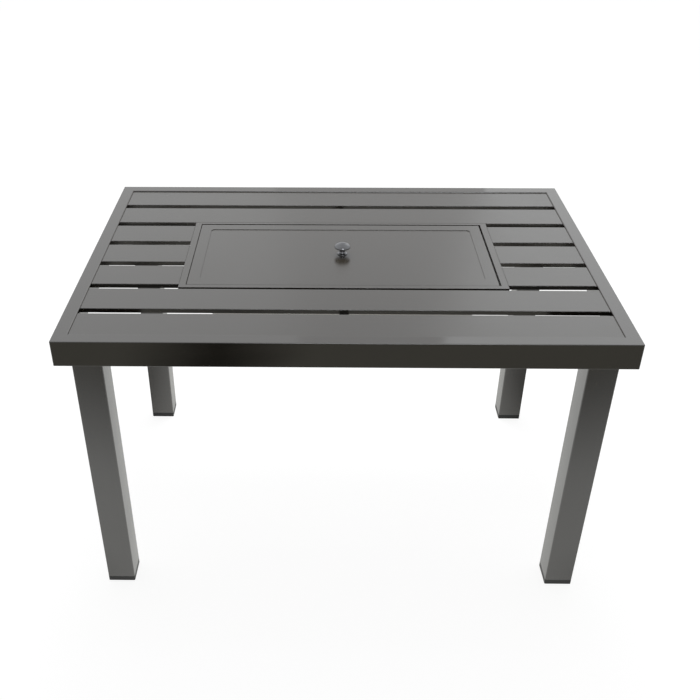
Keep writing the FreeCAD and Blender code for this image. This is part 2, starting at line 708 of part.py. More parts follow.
node("corner_brackets", bundle(brackets))
node("leg_bolts", bundle(leg_bolts))
node("foot_caps", bundle(foot_caps))

# Trim frame round the lid, with a ledge that carries the burner pan
cap = box("-rim_half", "rim_half", "-rim_front", "rim_back", "slat_under", "slat_top")
under = box("-rim_half + rim_sheet", "rim_half - rim_sheet", "-rim_front + rim_sheet",
            "rim_back - rim_sheet", "slat_under - 1", "slat_top - rim_sheet")
well = box("-hole_half - rim_sheet", "hole_half + rim_sheet", "-hole_front - rim_sheet",
           "hole_back + rim_sheet", "ledge_top - rim_sheet", "slat_top")
opening = box("-hole_half", "hole_half", "-hole_front", "hole_back", "ledge_top", "slat_top + 1")
ledge_hole = box("-hole_half + ledge_width", "hole_half - ledge_width", "-hole_front + ledge_width",
                 "hole_back - ledge_width", "ledge_top - rim_sheet - 1", "ledge_top + 1")
node("burner_rim", cut(join([cut(cap, [under]), well]), [opening, ledge_hole]))

# Lid: folded sheet with a raised border
lid_low_x = "lid_middle_x - lid_length / 2"
lid_high_x = "lid_middle_x + lid_length / 2"
lid_low_y = "lid_middle_y - lid_width / 2"
lid_high_y = "lid_middle_y + lid_width / 2"
lid_skin = rounded_block(lid_low_x, lid_high_x, lid_low_y, lid_high_y,
                         "lid_top - lid_skirt", "lid_top", "lid_radius")
lid_core = box(f"{lid_low_x} + lid_sheet", f"{lid_high_x} - lid_sheet", f"{lid_low_y} + lid_sheet",
               f"{lid_high_y} - lid_sheet", "lid_top - lid_skirt - 1", "lid_top - lid_sheet")


def lid_area(grow, low, high, radius):
    return rounded_block(
        f"{lid_low_x} + lid_border - {grow}", f"{lid_high_x} - lid_border + {grow}",
        f"{lid_low_y} + lid_border - {grow}", f"{lid_high_y} - lid_border + {grow}", low, high, radius)


lid_tray = lid_area("lid_sheet", "lid_panel_z - lid_sheet", "lid_top", "panel_radius + lid_sheet")
lid_dish = lid_area("0", "lid_panel_z", "lid_top + 1", "panel_radius")
node("lid_panel", cut(join([cut(lid_skin, [lid_core]), lid_tray]), [
    lid_dish,
    hexagon("z", "lid_middle_x", "lid_middle_y", "lid_panel_z - lid_sheet - 1", "screw_hole",
            "lid_sheet + 2"),
]))

lid_feet = []
for sign_x in (-1, 1):
    for sign_y in (-1, 1):
        x = f"lid_middle_x + {sign_x} * (lid_length / 2 - lid_foot_inset)"
        y = f"lid_middle_y + {sign_y} * (lid_width / 2 - lid_foot_inset)"
        lid_feet.append(box(f"{x} - lid_foot / 2", f"{x} + lid_foot / 2", f"{y} - lid_foot / 2",
                            f"{y} + lid_foot / 2", "pan_top", "lid_top - lid_sheet"))
node("lid_feet", bundle(lid_feet))


# Lid knob, turned from one bar, and the screw that holds it
def knob_section(sketch):
    outline(sketch, [
        ("0", "0"),
        ("knob_flange", "0"),
        ("knob_flange", "knob_flange_height"),
        ("knob_neck", "knob_flange_height"),
        ("knob_neck", "knob_rise"),
        ("knob_radius", "knob_rise"),
        ("knob_radius", "knob_rise + knob_rim"),
        ("knob_radius * 0.88", "knob_rise + knob_rim + knob_crown * 0.55"),
        ("knob_radius * 0.6", "knob_rise + knob_rim + knob_crown"),
        ("0", "knob_rise + knob_rim + knob_crown"),
    ])


knob_body = doc.addObject("PartDesign::Body", "lid_knob_body")
knob_sketch = sketch_on(knob_body, "XZ_Plane", "half_section")
knob_section(knob_sketch)
turned = knob_body.newObject("PartDesign::Revolution", "turned")
turned.Profile = knob_sketch
turned.ReferenceAxis = (knob_sketch, ["V_Axis"])
turned.Angle = 360
put(knob_body, "lid_middle_x", "lid_middle_y", "lid_panel_z")
node("lid_knob", cut(knob_body, [
    hexagon("z", "lid_middle_x", "lid_middle_y", "lid_panel_z - 1", "screw_hole",
            "knob_screw_bite + 2"),
]))


def small_screw(x, y, z, length):
    """Hexagon-headed screw pointing up, seat of its head at z."""
    return join([
        hexagon("z", x, y, f"{z} - screw_head_height", "screw_head", "screw_head_height"),
        hexagon("z", x, y, f"{z} - 0.5", "screw_radius", f"{length} + 0.5"),
    ])


node("lid_knob_screw", small_screw("lid_middle_x", "lid_middle_y", "lid_panel_z - lid_sheet",
                                   "knob_screw_bite + lid_sheet"))

# Burner pan: a drawn tub, hung in the trim frame by its flange
flange = rounded_block("-hole_half + pan_play", "hole_half - pan_play", "-hole_front + pan_play",
                       "hole_back - pan_play", "ledge_top", "pan_top", "pan_radius / 2")
tub = rounded_block("-pan_half", "pan_half", "-pan_front", "pan_back", "pan_bottom", "pan_top",
                    "pan_radius")
tub_core = rounded_block("-pan_half + pan_sheet", "pan_half - pan_sheet", "-pan_front + pan_sheet",
                         "pan_back - pan_sheet", "pan_floor", "pan_top + 1", "pan_radius - pan_sheet")
pan_holes = [rod("z", "0", "fire_y", "pan_bottom - 1", "nipple_radius + nipple_fit", "pan_sheet + 2")]
probe_y = "fire_y - burner_spread - probe_gap"
for sign in (-1, 1):
    pan_holes.append(hexagon("z", f"{sign} * probe_x", probe_y, "pan_bottom - 1", "probe_hole",
                             "pan_sheet + 2"))
node("burner_pan", cut(join([flange, tub]), [tub_core] + pan_holes))


# Burner: two long square tubes and a cross tube, closed at the ends, with gas ports on top
def burner_tubes(wall):
    half = f"(burner_radius - {wall})"
    low = f"burner_level - {half}"
    high = f"burner_level + {half}"
    parts = []
    for sign in (-1, 1):
        middle = f"fire_y + {sign} * burner_spread"
        parts.append(box(f"-burner_half + {wall}", f"burner_half - {wall}", f"{middle} - {half}",
                         f"{middle} + {half}", low, high))
    parts.append(box(f"-{half}", half, "fire_y - burner_spread", "fire_y + burner_spread", low, high))
    return parts


socket = hexagon("z", "0", "fire_y", "pan_floor", "socket_radius",
                 "burner_rise - burner_radius / 2")
burner_cuts = burner_tubes("burner_wall")
burner_cuts.append(rod("z", "0", "fire_y", "pan_floor - 1", "nipple_radius + nipple_fit",
                       "burner_rise"))
ports = []
for sign in (-1, 1):
    for step in range(-3, 4):
        ports.append(hexagon("z", f"{step} * port_pitch", f"fire_y + {sign} * burner_spread",
                             "burner_level + burner_radius - burner_wall - 1", "port_radius",
                             "burner_wall + 2"))
node("burner", cut(cut(join(burner_tubes("0") + [socket]), [join(burner_cuts)]), ports))


def stand_section(sketch):
    outline(sketch, [
        ("0", "0"),
        ("stand_foot", "0"),
        ("stand_foot", "burner_rise - burner_radius - pan_sheet"),
        ("stand_foot + stand_width", "burner_rise - burner_radius - pan_sheet"),
        ("stand_foot + stand_width", "0"),
        ("2 * stand_foot + stand_width", "0"),
        ("2 * stand_foot + stand_width", "pan_sheet"),
        ("stand_foot + stand_width + pan_sheet", "pan_sheet"),
        ("stand_foot + stand_width + pan_sheet", "burner_rise - burner_radius"),
        ("stand_foot - pan_sheet", "burner_rise - burner_radius"),
        ("stand_foot - pan_sheet", "pan_sheet"),
        ("0", "pan_sheet"),
    ])


stands = []
for sign_x in (-1, 1):
    for sign_y in (-1, 1):
        body = padded("stand", "XZ_Plane", "stand_depth", stand_section)
        stands.append(put(body, f"{sign_x} * stand_x - stand_foot - stand_width / 2",
                          f"fire_y + {sign_y} * burner_spread + stand_depth / 2", "pan_floor"))
node("burner_stands", bundle(stands))

node("feed_nipple", cut(
    rod("z", "0", "fire_y", "nipple_bottom", "nipple_radius", "nipple_top - nipple_bottom"),
    [hexagon("z", "0", "fire_y", "nipple_bottom - 1", "nipple_bore",
             "nipple_top - nipple_bottom + 2")]))
node("nipple_locknut", cut(
    hexagon("z", "0", "fire_y", "pan_bottom - locknut_height", "locknut_radius", "locknut_height"),
    [rod("z", "0", "fire_y", "pan_bottom - locknut_height - 1", "nipple_radius + nipple_fit",
         "locknut_height + 2")]))


# Heat shield: one bent sheet, welded to the pan by its feet
def shield_section(sketch):
    outline(sketch, [
        ("0", "shield_drop"),
        ("shield_foot", "shield_drop"),
        ("shield_foot", "0"),
        ("2 * shield_half - shield_foot", "0"),
        ("2 * shield_half - shield_foot", "shield_drop"),
        ("2 * shield_half", "shield_drop"),
        ("2 * shield_half", "shield_drop - shield_sheet"),
        ("2 * shield_half - shield_foot + shield_sheet", "shield_drop - shield_sheet"),
        ("2 * shield_half - shield_foot + shield_sheet", "-shield_sheet"),
        ("shield_foot - shield_sheet", "-shield_sheet"),
        ("shield_foot - shield_sheet", "shield_drop - shield_sheet"),
        ("0", "shield_drop - shield_sheet"),
    ])


shield = padded("shield", "XZ_Plane", "2 * shield_reach", shield_section)
put(shield, "-shield_half", "fire_y + shield_reach", "shield_top")
node("heat_shield", cut(shield, [
    rod("z", "0", "fire_y", "shield_under - 1", "shield_hole", "shield_sheet + 2"),
]))

# Air mixer and jet on the lower end of the feed pipe
window = "(mixer_bottom + mixer_neck) / 2"
node("air_mixer", cut(
    hexagon("z", "0", "fire_y", "mixer_bottom", "mixer_radius", "mixer_top - mixer_bottom"),
    [join([
        rod("z", "0", "fire_y", "mixer_bottom + mixer_wall", "nipple_radius + nipple_fit",
            "mixer_top - mixer_bottom"),
        hexagon("z", "0", "fire_y", "mixer_bottom - 1", "jet_neck + nipple_fit",
                "mixer_wall + 4"),
        box("-mixer_radius - 1", "mixer_radius + 1", "fire_y - air_window", "fire_y + air_window",
            f"{window} - air_window * 1.6", f"{window} + air_window * 1.6"),
    ])]))
node("gas_jet", join([
    hexagon("z", "0", "fire_y", "mixer_bottom - jet_hex_height", "jet_hex", "jet_hex_height"),
    hexagon("z", "0", "fire_y", "mixer_bottom - 0.5", "jet_neck", "8.5"),
    rod("z", "0", "fire_y", "feed_start", "feed_radius",
        "mixer_bottom - jet_hex_height - feed_start + 0.5"),
]))


# Gas pipe: down from the jet, back under the shield and up to the valve, with two elbows
def elbow_section(towards):
    """Side view of an elbow, its open ends up and towards the other elbow."""
    def draw(sketch):
        points = [
            ("-elbow_half", "elbow_arm"),
            ("elbow_half", "elbow_arm"),
            ("elbow_half", "elbow_half"),
            ("elbow_arm", "elbow_half"),
            ("elbow_arm", "-elbow_half"),
            ("elbow_cut - elbow_half", "-elbow_half"),
            ("-elbow_half", "elbow_cut - elbow_half"),
        ]
        if towards < 0:
            points = [(f"-1 * ({across})", up) for across, up in reversed(points)]
        outline(sketch, points)
    return draw


pipe_runs = [
    rod("z", "0", "fire_y", "feed_low", "feed_radius", "feed_start - feed_low"),
    rod("z", "0", "valve_middle", "feed_low", "feed_radius", "valve_level - valve_under - feed_low"),
    rod("y", "0", "fire_y", "feed_low", "feed_radius", "valve_middle - fire_y"),
]
for towards, y in ((1, "fire_y"), (-1, "valve_middle")):
    elbow = padded("elbow", "YZ_Plane", "2 * elbow_half", elbow_section(towards))
    pipe_runs.append(put(elbow, "-elbow_half", y, "feed_low"))
node("gas_pipe", join(pipe_runs))


# Control panel: one bent sheet under the back rail
def panel_side(sketch):
    outline(sketch, [
        ("0", "0"),
        ("panel_return", "0"),
        ("panel_return", "panel_high - panel_sheet"),
        ("panel_return - panel_sheet + panel_flange", "panel_high - panel_sheet"),
        ("panel_return - panel_sheet + panel_flange", "panel_high"),
        ("panel_return - panel_sheet", "panel_high"),
        ("panel_return - panel_sheet", "panel_sheet"),
        ("0", "panel_sheet"),
    ])


sheet_body = padded("panel_sheet_body", "YZ_Plane", "2 * panel_half", panel_side)
put(sheet_body, "-panel_half", "panel_face - panel_return", "panel_low")
folds = []
for sign in (-1, 1):
    x_low, x_high = side(sign, "panel_half - panel_sheet", "panel_half")
    folds.append(box(x_low, x_high, "panel_face - panel_return", "panel_face", "panel_low",
                     "rail_bottom"))
panel_under = "rail_bottom - panel_sheet"
panel_cuts = [
    rod("y", "0", "panel_y - 1", "valve_level", "valve_neck + 0.3", "panel_sheet + 2"),
    box("igniter_x - igniter_half - igniter_fit", "igniter_x + igniter_half + igniter_fit",
        "panel_y - 1", "panel_face + 1", "valve_level - igniter_half - igniter_fit",
        "valve_level + igniter_half + igniter_fit"),
]
panel_screws = []
for sign in (-1, 1):
    x = f"{sign} * panel_screw_x"
    panel_cuts.append(hexagon("z", x, "panel_screw_y", f"{panel_under} - 1", "screw_hole",
                              "panel_sheet + 2"))
    panel_screws.append(small_screw(x, "panel_screw_y", panel_under, "screw_length"))
node("control_panel", cut(join([sheet_body] + folds), panel_cuts))
node("panel_screws", bundle(panel_screws))

# Gas valve: body, stem, spring seat and control knob
valve_skin = join([
    box("-valve_half", "valve_half", "valve_back", "valve_y", "valve_level - valve_under",
        "valve_level + valve_under"),
    hexagon("y", "0", "valve_y - 1", "valve_level", "valve_collar", "panel_y - valve_y + 1"),
    rod("y", "0", "valve_y - 1", "valve_level", "valve_neck", "panel_y - valve_y + neck_length + 1"),
])
cavity_front = "valve_y - 2"
cavity_back = "valve_back + 10"
valve_cuts = [
    hexagon("y", "0", cavity_back, "valve_level", "cavity_radius",
            f"({cavity_front}) - ({cavity_back})"),
    rod("y", "0", f"{cavity_front} - 1", "valve_level", "stem_bore", "panel_y - valve_y + neck_length + 5"),
]
node("valve_body", cut(valve_skin, [join(valve_cuts)]))

stem_back = f"{cavity_back} + 6"
seat_y = f"{stem_back} + 4"
node("valve_stem", join([
    hexagon("y", "0", stem_back, "valve_level", "stem_flange", "4"),
    hexagon("y", "0", f"{stem_back} + 3", "valve_level", "stem_radius",
            f"panel_face + dial_start + 14 - ({stem_back}) - 3"),
]))
node("stem_collar", cut(
    hexagon("y", "0", seat_y, "valve_level", "cavity_radius - 0.4", "1.5"),
    [rod("y", "0", f"{seat_y} - 1", "valve_level", "stem_bore", "4")]))

dial_back = "panel_face + dial_start"
node("control_knob", cut(
    join([
        rod("y", "0", dial_back, "valve_level", "dial_radius", "dial_skirt"),
        rounded_block("-dial_bar", "dial_bar", f"{dial_back} + dial_soft - 1",
                      f"{dial_back} + dial_height", "valve_level - dial_grip",
                      "valve_level + dial_grip", "dial_soft"),
    ]),
    [hexagon("y", "0", f"{dial_back} - 1", "valve_level", "stem_radius + 0.1", "15.1")]))
elbow_x = "valve_half + inlet_hex_length + inlet_elbow / 2"
node("gas_inlet", cut(
    join([
        hexagon("x", "valve_half", "valve_middle", "valve_level", "inlet_hex",
                "inlet_hex_length + 0.5"),
        box(f"{elbow_x} - inlet_elbow / 2", f"{elbow_x} + inlet_elbow / 2",
            "valve_middle - inlet_elbow / 2", "valve_middle + inlet_elbow / 2",
            "valve_level - inlet_elbow / 2", "valve_level + inlet_elbow / 2"),
        rod("z", elbow_x, "valve_middle", "valve_level - inlet_elbow / 2 - inlet_length",
            "inlet_radius", "inlet_length + 0.5"),
    ]),
    [hexagon("z", elbow_x, "valve_middle", "valve_level - inlet_elbow / 2 - inlet_length - 1",
             "inlet_bore", "inlet_length + inlet_elbow / 2")]))

# Igniter with its push button
node("igniter_body", cut(
    join([
        box("igniter_x - igniter_half", "igniter_x + igniter_half", "panel_y - igniter_length",
            "panel_face + igniter_face", "valve_level - igniter_half", "valve_level + igniter_half"),
        box("igniter_x - igniter_bezel", "igniter_x + igniter_bezel", "panel_face",
            "panel_face + igniter_face", "valve_level - igniter_bezel",
            "valve_level + igniter_bezel"),
    ]),
    [rod("y", "igniter_x", "panel_face + igniter_face - button_in - button_travel - 1", "valve_level",
         "igniter_bore", "button_in + button_travel + 2")]))
node("igniter_button", rod("y", "igniter_x", "panel_face + igniter_face - button_in", "valve_level",
                           "button_radius", "button_in + button_out"))
node("valve_nut", cut(
    hexagon("y", "0", "panel_face", "valve_level", "nut_radius", "nut_height"),
    [rod("y", "0", "panel_face - 1", "valve_level", "valve_neck + 0.15", "nut_height + 2")]))

# Spark electrode and flame sensor beside the front burner tube
for sign, name, top in ((1, "spark_electrode", "14"), (-1, "flame_sensor", "8")):
    x = f"{sign} * probe_x"
    node(name, join([
        hexagon("z", x, probe_y, "pan_floor - 14", "probe_radius", "14 + 16"),
        hexagon("z", x, probe_y, "pan_floor", "probe_flange", "2"),
        hexagon("z", x, probe_y, "pan_floor + 15", "1.2", f"burner_rise - 15 + {top}"),
    ]))

spare = doc.getObject("number_probe")
if spare is not None:
    doc.removeObject(spare.Name)
doc.recompute()

faults = []
for item in doc.Objects:
    if any(word in ("Invalid", "Error") for word in item.State):
        faults.append(f"{item.Name} {item.Label} {item.State}")
for name, item in NODES:
    shape = item.Shape
    if shape.isNull() or not shape.isValid() or not shape.Solids:
        faults.append(f"{name} has no valid solid")
if faults:
    raise RuntimeError("; ".join(faults[:12]))
if len(NODES) > 60 or len({name for name, item in NODES}) != len(NODES):
    raise RuntimeError("node names or their number are wrong")

for name, item in NODES:
    item.Shape.exportStep(os.path.join("parts", f"{name}.step"))
    bounds = item.Shape.BoundBox
    print(f"{name:18s} {len(item.Shape.Solids):3d} solids {item.Shape.Volume:12.0f} mm3  "
          f"x {bounds.XMin:8.1f} {bounds.XMax:8.1f}  y {bounds.YMin:8.1f} {bounds.YMax:8.1f}  "
          f"z {bounds.ZMin:7.1f} {bounds.ZMax:7.1f}")
print(len(NODES), "nodes")
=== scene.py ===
import json
import math

import bmesh
import bpy
from bpy.props import FloatProperty, FloatVectorProperty, PointerProperty
from mathutils import Matrix, Vector


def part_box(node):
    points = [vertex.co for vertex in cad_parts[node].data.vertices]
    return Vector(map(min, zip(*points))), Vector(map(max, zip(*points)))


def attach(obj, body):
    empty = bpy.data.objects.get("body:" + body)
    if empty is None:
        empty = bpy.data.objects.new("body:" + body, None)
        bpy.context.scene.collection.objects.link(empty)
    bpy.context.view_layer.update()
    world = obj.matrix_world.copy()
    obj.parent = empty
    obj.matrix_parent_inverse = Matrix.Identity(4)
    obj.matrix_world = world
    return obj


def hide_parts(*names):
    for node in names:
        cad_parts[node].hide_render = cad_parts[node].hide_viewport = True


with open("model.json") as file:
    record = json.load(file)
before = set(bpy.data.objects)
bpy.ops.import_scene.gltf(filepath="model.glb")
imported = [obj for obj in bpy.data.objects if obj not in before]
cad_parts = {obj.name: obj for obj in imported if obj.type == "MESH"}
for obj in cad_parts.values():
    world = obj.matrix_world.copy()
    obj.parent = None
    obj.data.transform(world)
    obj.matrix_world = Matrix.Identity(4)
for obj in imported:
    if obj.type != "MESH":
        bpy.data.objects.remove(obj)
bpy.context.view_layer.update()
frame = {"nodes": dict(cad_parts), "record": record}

bl_info = {
    "name": "Fire Pit Table Looks",
    "version": (1, 0, 0),
    "blender": (4, 5, 0),
    "location": "View3D > Sidebar > Fire Pit",
    "description": "Paints the fire pit table and adds its rounded and turned pieces",
    "category": "Object",
}

CAD_NODES = frame["nodes"]
MM = 0.001
# Points closer than this become one point, in metres
MERGE = 1e-6
# Edges between faces at this angle or more stay sharp, in degrees
SHARP_ANGLE = 30
# Depth of the surface grain of painted parts and of bare metal, in metres
COAT_RELIEF = 0.0001
METAL_RELIEF = 0.00003
# Rows of slats, numbered from the back to the front
ROWS = 7
MIDDLE_ROW = 4


# Sizes and colours that a user would change
class PaintSettings(bpy.types.PropertyGroup):
    colour: FloatVectorProperty(
        name="Powder coat", description="Dark bronze of the painted aluminium",
        default=(0.038, 0.031, 0.022), subtype="COLOR", size=3, min=0, max=1)
    dark_colour: FloatVectorProperty(
        name="Frame coat", description="Duller coat of the frame under the slats",
        default=(0.045, 0.043, 0.040), subtype="COLOR", size=3, min=0, max=1)
    roughness: FloatProperty(
        name="Roughness", description="Semi-gloss of the powder coat",
        default=0.24, min=0, max=1, subtype="FACTOR")
    border_roughness: FloatProperty(
        name="Border roughness", description="Smoother coat of the welded border",
        default=0.08, min=0, max=1, subtype="FACTOR")
    gloss_index: FloatProperty(
        name="Gloss index", description="Refractive index of the coat; a higher one reflects more",
        default=2.0, min=1, max=3)
    grain: FloatProperty(
        name="Grain", description="Size of the powder coat's orange peel",
        default=0.0016, min=0.0002, max=0.01, unit="LENGTH")
    edge: FloatProperty(
        name="Edge radius", description="Rounding of sheet edges",
        default=0.0005, min=0.0001, max=0.003, unit="LENGTH")
    rail_edge: FloatProperty(
        name="Rail edge radius", description="Rounding along the border's top edge",
        default=0.0014, min=0.0003, max=0.004, unit="LENGTH")
    rail_corner: FloatProperty(
        name="Rail corner radius", description="Rounding of the border's upright corners",
        default=0.0022, min=0.0003, max=0.01, unit="LENGTH")


class MetalSettings(bpy.types.PropertyGroup):
    knob: FloatVectorProperty(
        name="Lid knob", description="Polished gunmetal of the lid knob",
        default=(0.18, 0.18, 0.183), subtype="COLOR", size=3, min=0, max=1)
    steel: FloatVectorProperty(
        name="Stainless steel", description="Burner, burner pan and gas pipe",
        default=(0.55, 0.54, 0.52), subtype="COLOR", size=3, min=0, max=1)
    zinc: FloatVectorProperty(
        name="Zinc plate", description="Bolts, screws and nuts",
        default=(0.52, 0.52, 0.50), subtype="COLOR", size=3, min=0, max=1)
    aluminised: FloatVectorProperty(
        name="Aluminised steel", description="Heat shield and air mixer",
        default=(0.84, 0.85, 0.86), subtype="COLOR", size=3, min=0, max=1)
    brass: FloatVectorProperty(
        name="Brass", description="Valve, jet and inlet",
        default=(0.60, 0.42, 0.17), subtype="COLOR", size=3, min=0, max=1)


class FitSettings(bpy.types.PropertyGroup):
    slot: FloatProperty(
        name="Slot", description="Open slot between two slats in the photograph",
        default=0.0215, min=0.005, max=0.04, unit="LENGTH")
    edge_lift: FloatProperty(
        name="Edge lift", description="How far a slat's edges end above the rib that carries it",
        default=0.0006, min=0, max=0.004, unit="LENGTH")
    trim_front_gap: FloatProperty(
        name="Trim front gap", description="Trim frame to the long slat in front of it",
        default=0.0065, min=0, max=0.02, unit="LENGTH")
    trim_fit: FloatProperty(
        name="Trim fit", description="Trim frame to the slats behind and beside it",
        default=0.0003, min=0, max=0.005, unit="LENGTH")
    lid_back_gap: FloatProperty(
        name="Lid back gap", description="Added to the gap behind the lid",
        default=0.0022, min=0, max=0.01, unit="LENGTH")
    lid_front_close: FloatProperty(
        name="Lid front close", description="Taken from the gap in front of the lid",
        default=0.0004, min=0, max=0.0006, unit="LENGTH")
    lid_sink: FloatProperty(
        name="Lid sink", description="How much lower the lid's raised border lies, flush with the trim",
        default=0.0003, min=0, max=0.001, unit="LENGTH")
    slat_skew_front: FloatProperty(
        name="Front skew of slat 6", description="How far its front edge lies forward at its right end",
        default=0.0031, min=0, max=0.01, unit="LENGTH")
    slat_skew_back: FloatProperty(
        name="Back skew of slat 6", description="How far its back edge lies forward at its right end",
        default=0.0018, min=0, max=0.01, unit="LENGTH")
    right_wider: FloatProperty(
        name="Right slats wider", description="Added to the back of the right slats of rows 4 and 5",
        default=0.0007, min=0, max=0.005, unit="LENGTH")
    knob_aside: FloatProperty(
        name="Knob aside", description="Lid knob to the right of the lid's middle",
        default=0.0025, min=-0.01, max=0.01, unit="LENGTH")
    weld: FloatProperty(
        name="Weld bead", description="Radius of a weld bead on the frame",
        default=0.0022, min=0.0005, max=0.005, unit="LENGTH")


class StageSettings(bpy.types.PropertyGroup):
    camera_place: FloatVectorProperty(
        name="Camera", description="Where the camera stands",
        default=(-0.0559, -1.9557, 1.6917), size=3, subtype="TRANSLATION", unit="LENGTH")
    camera_aim: FloatVectorProperty(
        name="Aim", description="Direction of the lens axis",
        default=(-0.0118, 0.8382, -0.5453), size=3, subtype="XYZ")
    camera_side: FloatVectorProperty(
        name="Right", description="Direction of the picture's right edge",
        default=(0.99991, 0.01308, -0.00154), size=3, subtype="XYZ")
    focal_length: FloatProperty(
        name="Focal length", description="Lens of the camera, in millimetres",
        default=45.51, min=10, max=200)
    shift_x: FloatProperty(
        name="Sideways shift", description="The photograph's framing, across",
        default=0.0600, min=-0.3, max=0.3)
    shift_y: FloatProperty(
        name="Upward shift", description="The photograph's framing, up",
        default=0.0156, min=-0.3, max=0.3)
    lamp_watts: FloatProperty(
        name="Overhead lamp", description="Power of the soft lamp over the table",
        default=33, min=0, max=500)
    left_watts: FloatProperty(
        name="Left softbox", description="Power of the softbox behind on the left",
        default=2.6, min=0, max=500)
    right_watts: FloatProperty(
        name="Right softbox", description="Power of the softbox behind on the right",
        default=5.6, min=0, max=500)
    lamp_tint: FloatVectorProperty(
        name="Lamp tint", description="Colour of the lamps, a little cool",
        default=(0.96, 0.99, 1.0), subtype="COLOR", size=3, min=0, max=1)
    back_light: FloatProperty(
        name="Back light", description="Brightness of the room behind the table",
        default=0.85, min=0, max=3)
    # Painted reflections: the room as the coat mirrors it, apart from the white room that the camera
    # sees
    mirror_middle: FloatProperty(
        name="Mirrored room, middle", description="Room seen in reflections straight behind the table",
        default=0.89, min=0, max=3)
    mirror_sides: FloatProperty(
        name="Mirrored room, sides", description="Room seen in reflections towards the sides",
        default=1.02, min=0, max=3)
    room_tint: FloatVectorProperty(
        name="Mirrored room tint", description="Colour of the room in reflections, a little cool",
        default=(0.953, 0.973, 1.006), subtype="COLOR", size=3, min=0, max=1.2)
    front_light: FloatProperty(
        name="Front light", description="Brightness of the room in front of the table",
        default=0.06, min=0, max=3)
    # Painted reflection: the floor as the apron and legs mirror it, darker far in front and in a dark
    # patch
    apron_mirror: FloatProperty(
        name="Mirrored floor, far",
        description="Floor that the apron mirrors, well in front of the table",
        default=0.28, min=0, max=1)
    dark_patch: FloatProperty(
        name="Dark patch", description="How far left of the middle the apron mirrors a dark patch",
        default=0.42, min=-2, max=2, unit="LENGTH")
    floor_tint: FloatVectorProperty(
        name="Far floor tint", description="Colour of the far floor in reflections",
        default=(1.0, 0.955, 0.81), subtype="COLOR", size=3, min=0, max=1)
    near_floor_tint: FloatVectorProperty(
        name="Near floor tint", description="Colour of the near floor in reflections",
        default=(0.983, 0.988, 0.965), subtype="COLOR", size=3, min=0, max=1)
    mirror_front: FloatProperty(
        name="Mirrored room, front", description="Share of the mirrored room that is left in front",
        default=0.75, min=0, max=1)
    # Painted glint: a bright spot in the mirrored room, no lamp; only mirror images see it
    glint: FloatProperty(
        name="Glint", description="Brightness of the small lamp that the lid knob mirrors",
        default=6.0, min=0, max=20)
    glint_direction: FloatVectorProperty(
        name="Glint direction", description="Where that lamp stands, from the table",
        default=(0.10, -0.86, 0.50), size=3, subtype="XYZ")


def settings():
    """All settings of the table, by group."""
    return bpy.context.scene.fire_pit


# Node helpers
def new_group(name, inputs, outputs):
    """Empty shader node group with its sockets, and its input and output nodes."""
    group = bpy.data.node_groups.new(name, "ShaderNodeTree")
    for label, kind, value in inputs:
        socket = group.interface.new_socket(label, in_out="INPUT", socket_type=kind)
        if value is not None:
            socket.default_value = value
    for label, kind in outputs:
        group.interface.new_socket(label, in_out="OUTPUT", socket_type=kind)
    return group, group.nodes.new("NodeGroupInput"), group.nodes.new("NodeGroupOutput")


def add(tree, kind, links=None, **values):
    """Node of a kind, with named inputs set or linked, and its own properties."""
    item = tree.nodes.new(kind)
    for key, value in values.items():
        setattr(item, key, value)
    for key, value in (links or {}).items():
        if isinstance(value, bpy.types.NodeSocket):
            tree.links.new(value, item.inputs[key])
        else:
            item.inputs[key].default_value = value
    return item


def math_node(tree, operation, *values):
    """Result of a math node on numbers or sockets."""
    return add(tree, "ShaderNodeMath", dict(enumerate(values)), operation=operation).outputs[0]


def ramp(tree, value, start, end, low=0.0, high=1.0):
    """Level that goes from low to high while value goes from start to end."""
    return add(tree, "ShaderNodeMapRange", {"Value": value, "From Min": start, "From Max": end,
                                            "To Min": low, "To Max": high}).outputs[0]


def by_ray(tree, seen, mirrored, lighting):
    """One shader for the camera, one for mirror images and one for all other light."""
    rays = add(tree, "ShaderNodeLightPath")
    indirect = add(tree, "ShaderNodeMixShader", {0: rays.outputs["Is Glossy Ray"],
                                                 1: lighting.outputs[0], 2: mirrored.outputs[0]})
    direct = math_node(tree, "MAXIMUM", rays.outputs["Is Camera Ray"],
                       rays.outputs["Is Transmission Ray"])
    chosen = add(tree, "ShaderNodeMixShader", {0: direct, 1: indirect.outputs[0],
                                               2: seen.outputs[0]})
    return chosen.outputs[0]


FLOAT = "NodeSocketFloat"
COLOUR = "NodeSocketColor"
VECTOR = "NodeSocketVector"


